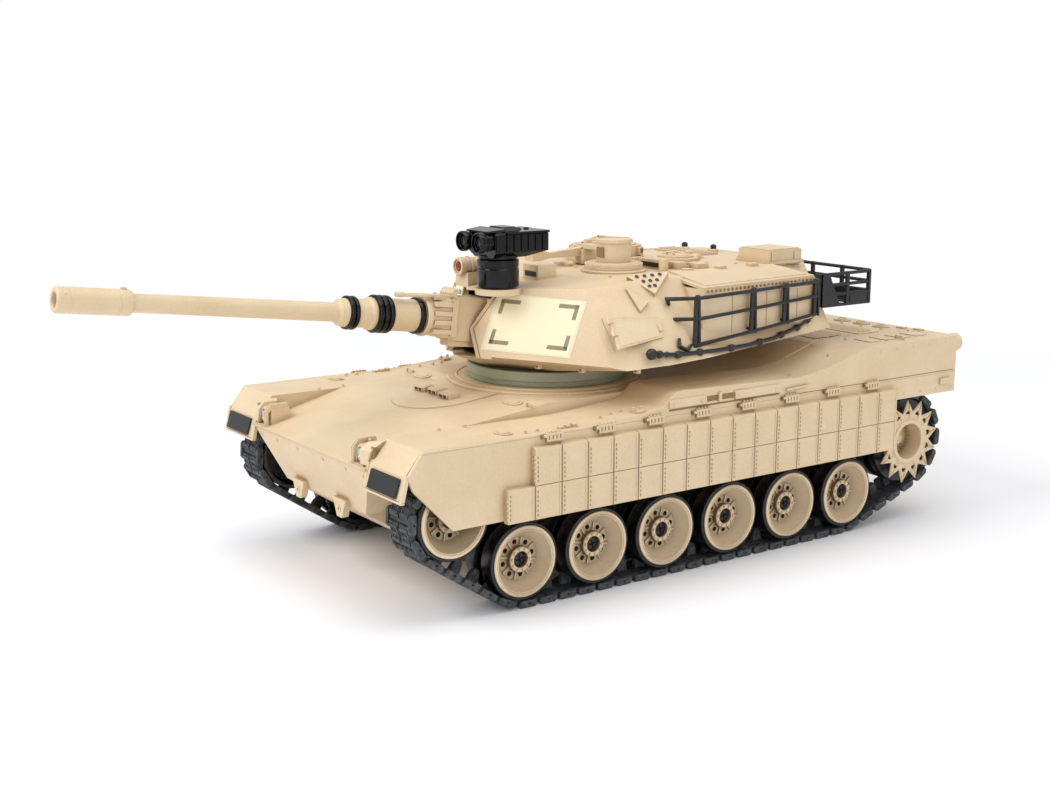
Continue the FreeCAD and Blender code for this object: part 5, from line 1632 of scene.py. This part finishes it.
def make_sight():
    """Glossy pedestal and the turning twin-lens unit on it."""
    x, y, _ = joint_point("sight_swivel")
    stand = Shape()
    low, high = box_of("sight_base")
    foot = Matrix.Translation((x, y, 0))
    stand.turned(((3.2, low.z), (10.9, low.z), (11.0, low.z + 0.3), (11.0, low.z + 9.2), (10.7, low.z + 9.6),
                  (10.7, low.z + 10.4), (11.0, low.z + 10.8), (11.0, high.z - 0.3), (10.6, high.z),
                  (3.2, high.z)), 96, 0, foot, True)
    stand.piece("sight_pedestal", "turret", (GLOSS,), 0.1, ("sight_base",))
    unit = Shape()
    unit.disc(2.95, 158.6, 166.0, 0, foot, 24)
    unit.turned(((9.6, 164.6), (10.4, 165.0), (10.4, 166.6)), 64, 0, foot)
    unit.loft([level(-8.5, 8.5, -9, 12, 165.6), level(-12.6, 12.6, -10, 23.6, 168.6),
               level(-12.6, 12.6, -10, 23.6, 177.6), level(-11.6, 11.6, -9, 22.6, 178.9)], 0, foot)
    unit.loft([level(-13.2, 13.2, -3, 24, z) for z in (178.0, 179.2)], 0, foot)
    for side in (-1, 1):
        near, far = sorted((side * 12.4, side * 13.3))
        for k in range(6):
            front = -3.0 + 4.5 * k
            width = 1.3 if k in (1, 2) else 2.4
            unit.box((near, front, 169.2), (far, front + width, 177.4), 0, foot)
        unit.box((near, -9.6, 169.4), (far, -5.6, 177.0), 0, foot)
    unit.loft([[(-9.5, -13.5, 178.8), (9.5, -13.5, 178.8), (12.0, -3, 179.4), (-12.0, -3, 179.4)],
               [(-9.5, -13.5, 179.8), (9.5, -13.5, 179.8), (12.0, -3, 180.8), (-12.0, -3, 180.8)]], 0, foot)
    unit.loft([level(-7.5, 7.5, -3, 10, 179), level(-5.5, 5.5, -1, 7, 181.3)], 0, foot)
    for behind in (13, 18):
        unit.dome(1.6, foot @ Matrix.Translation((0, behind, 179.1)), 0, 16)
    for side in (-1, 1):
        tube = at((x + side * 7.4, y - 9.5, 174.0), (0, -1, 0))
        unit.turned(((3.9, -1), (4.5, 0), (4.5, 1.6), (4.0, 1.8), (4.0, 2.6), (4.7, 2.8), (4.7, 3.8),
                     (4.1, 4.0), (4.1, 5.0), (5.0, 5.3), (5.3, 5.8), (5.3, 8.2), (5.0, 8.8), (4.4, 8.8),
                     (4.2, 7.2), (3.9, 7.0)), 40, 0, tube, True)
        unit.disc(4.1, -1.0, 5.6, 0, tube, 32)
        unit.turned(((4.0, 5.4), (4.0, 6.0), (3.0, 6.7), (1.4, 7.0), (0.3, 7.05)), 32, 1, tube)
        unit.turned(((1.5, 6.6), (2.1, 6.8), (2.1, 7.3), (1.5, 7.3)), 24, 0, tube, True)
    unit.box((-2.4, -15.5, 171.0), (2.4, -9.5, 176.0), 0, foot)
    unit.piece("sight_head", "sight", (GLOSS, GLASS_DARK), 0.18, ("sight_unit",))


# ---------------------------------------------------------------- inner parts

def paint_inner_parts():
    """Colours for the nodes that stay as they are, most of them inside the hull."""
    refined("battery_cover", BLACK, 0.25)
    refined("power_switch", BLACK, 0.2)
    for node, paint in (("battery_pack", WRAP), ("control_board", BOARD), ("drive_motors", STEEL),
                        ("gearboxes", GREY), ("wheel_axles", STEEL), ("traverse_motor", STEEL)):
        mesh = frame["nodes"][node].data
        mesh.materials.clear()
        mesh.materials.append(paint)
    belly = Shape()
    low, high = box_of("battery_cover")
    for x in (low.x + 4, high.x - 4):
        for y in (low.y + 5, high.y - 5):
            belly.turned(((2.2, -0.35), (2.2, 0.1), (1.7, 0.25)), 24, 0, at((x, y, low.z), (0, 0, -1)))
    for k in range(9):
        y = low.y + 18 + 3.2 * k
        belly.box((-12, y, low.z - 0.35), (12, y + 1.4, low.z + 0.2), 1)
    belly.piece("battery_cover_details", "battery_door", (STEEL, BLACK), 0.1, slot="black_plastic")
    low, high = box_of("power_switch")
    grip = Shape()
    for k in range(3):
        x = low.x + 0.6 + 1.6 * k
        grip.box((x, low.y + 0.4, low.z - 0.4), (x + 0.8, high.y - 0.4, low.z + 0.2))
    grip.piece("switch_grip", "switch_knob", (BLACK,), 0.08)


# ---------------------------------------------------------------- stage

def floor_paint():
    """Pale near the object, where shadows fall, and turning to plain white light far away."""
    paint = Paint("floor_paint")
    tree = paint.tree
    grain = paint.spread(paint.noise(300.0), 0.3, 0.7)
    colour = paint.mix(grain, (0.88, 0.89, 0.92, 1), (0.9, 0.9, 0.93, 1))
    paint.finish(colour, 0.7)
    glow = paint.node("ShaderNodeEmission", Color=(1, 1, 1, 1), Strength=1.0)
    length = tree.nodes.new("ShaderNodeVectorMath")
    length.operation = "LENGTH"
    tree.links.new(paint.place, length.inputs[0])
    far = paint.spread(length.outputs["Value"], 0.42, 0.85)
    seen = paint.node("ShaderNodeLightPath").outputs["Is Camera Ray"]
    mix = tree.nodes.new("ShaderNodeMixShader")
    tree.links.new(paint.math("MULTIPLY", far, seen), mix.inputs[0])
    tree.links.new(paint.shader.outputs["BSDF"], mix.inputs[1])
    tree.links.new(glow.outputs["Emission"], mix.inputs[2])
    tree.links.new(mix.outputs["Shader"], tree.nodes["Material Output"].inputs["Surface"])
    return paint.material


def make_stage():
    floor = Shape()
    floor.box((-9000, -9000, -40), (9000, 9000, 0))
    mesh = floor.mesh("floor", (floor_paint(),), OWN_ZERO)
    item = bpy.data.objects.new("floor", mesh)
    bpy.context.scene.collection.objects.link(item)


def make_light(name, place, target, size, power):
    """A white rectangular panel lamp that faces the target."""
    lamp = bpy.data.lights.new(name, "AREA")
    lamp.shape = "RECTANGLE"
    lamp.size, lamp.size_y = size
    lamp.energy = power
    item = bpy.data.objects.new(name, lamp)
    item.location = place
    item.rotation_mode = "QUATERNION"
    item.rotation_quaternion = (Vector(place) - Vector(target)).to_track_quat("Z", "Y")
    bpy.context.scene.collection.objects.link(item)


def make_world():
    """White behind the object, a softer white as light."""
    world = bpy.data.worlds.new("studio")
    world.use_nodes = True
    tree = world.node_tree
    tree.nodes.clear()
    out = tree.nodes.new("ShaderNodeOutputWorld")
    mix = tree.nodes.new("ShaderNodeMixShader")
    path = tree.nodes.new("ShaderNodeLightPath")
    shown = tree.nodes.new("ShaderNodeBackground")
    lit = tree.nodes.new("ShaderNodeBackground")
    shown.inputs["Strength"].default_value = 1.0
    lit.inputs["Strength"].default_value = 0.66
    for node in (shown, lit):
        node.inputs["Color"].default_value = (1, 1, 1, 1)
    tree.links.new(path.outputs["Is Camera Ray"], mix.inputs["Fac"])
    tree.links.new(lit.outputs["Background"], mix.inputs[1])
    tree.links.new(shown.outputs["Background"], mix.inputs[2])
    tree.links.new(mix.outputs["Shader"], out.inputs["Surface"])
    bpy.context.scene.world = world


def make_lights():
    """Soft panels: one ahead and above, one overhead and one on the left."""
    target = (0, 0, 0.08)
    make_light("key", (-0.35, -1.35, 1.25), target, (0.9, 0.9), 16.5)
    make_light("top", (0.3, 0.2, 1.9), target, (1.6, 1.6), 14.5)
    make_light("side", (1.7, -0.1, 0.7), target, (0.8, 1.4), 5.5)


def make_camera():
    """Three-quarter view from the left front, a little above the deck."""
    azimuth, elevation = math.radians(55.03), math.radians(11.66)
    run = math.cos(elevation)
    back = Vector((math.sin(azimuth) * run, -math.cos(azimuth) * run, math.sin(elevation)))
    lens = bpy.data.cameras.new("camera")
    lens.sensor_width = 36
    lens.lens = 51.43
    lens.clip_start, lens.clip_end = 0.01, 50
    camera = bpy.data.objects.new("camera", lens)
    camera.location = Vector((0.67093, -0.524, 0.25066)) + TO_CAD * MM
    camera.rotation_mode = "QUATERNION"
    camera.rotation_quaternion = back.to_track_quat("Z", "Y")
    bpy.context.scene.collection.objects.link(camera)
    bpy.context.scene.camera = camera


make_tracks()
make_wheels()
make_sprockets()
make_hull()
make_turret()
make_gun()
make_sight()
paint_inner_parts()
make_stage()
make_world()
make_lights()
make_camera()
bpy.context.scene.view_settings.view_transform = "Standard"
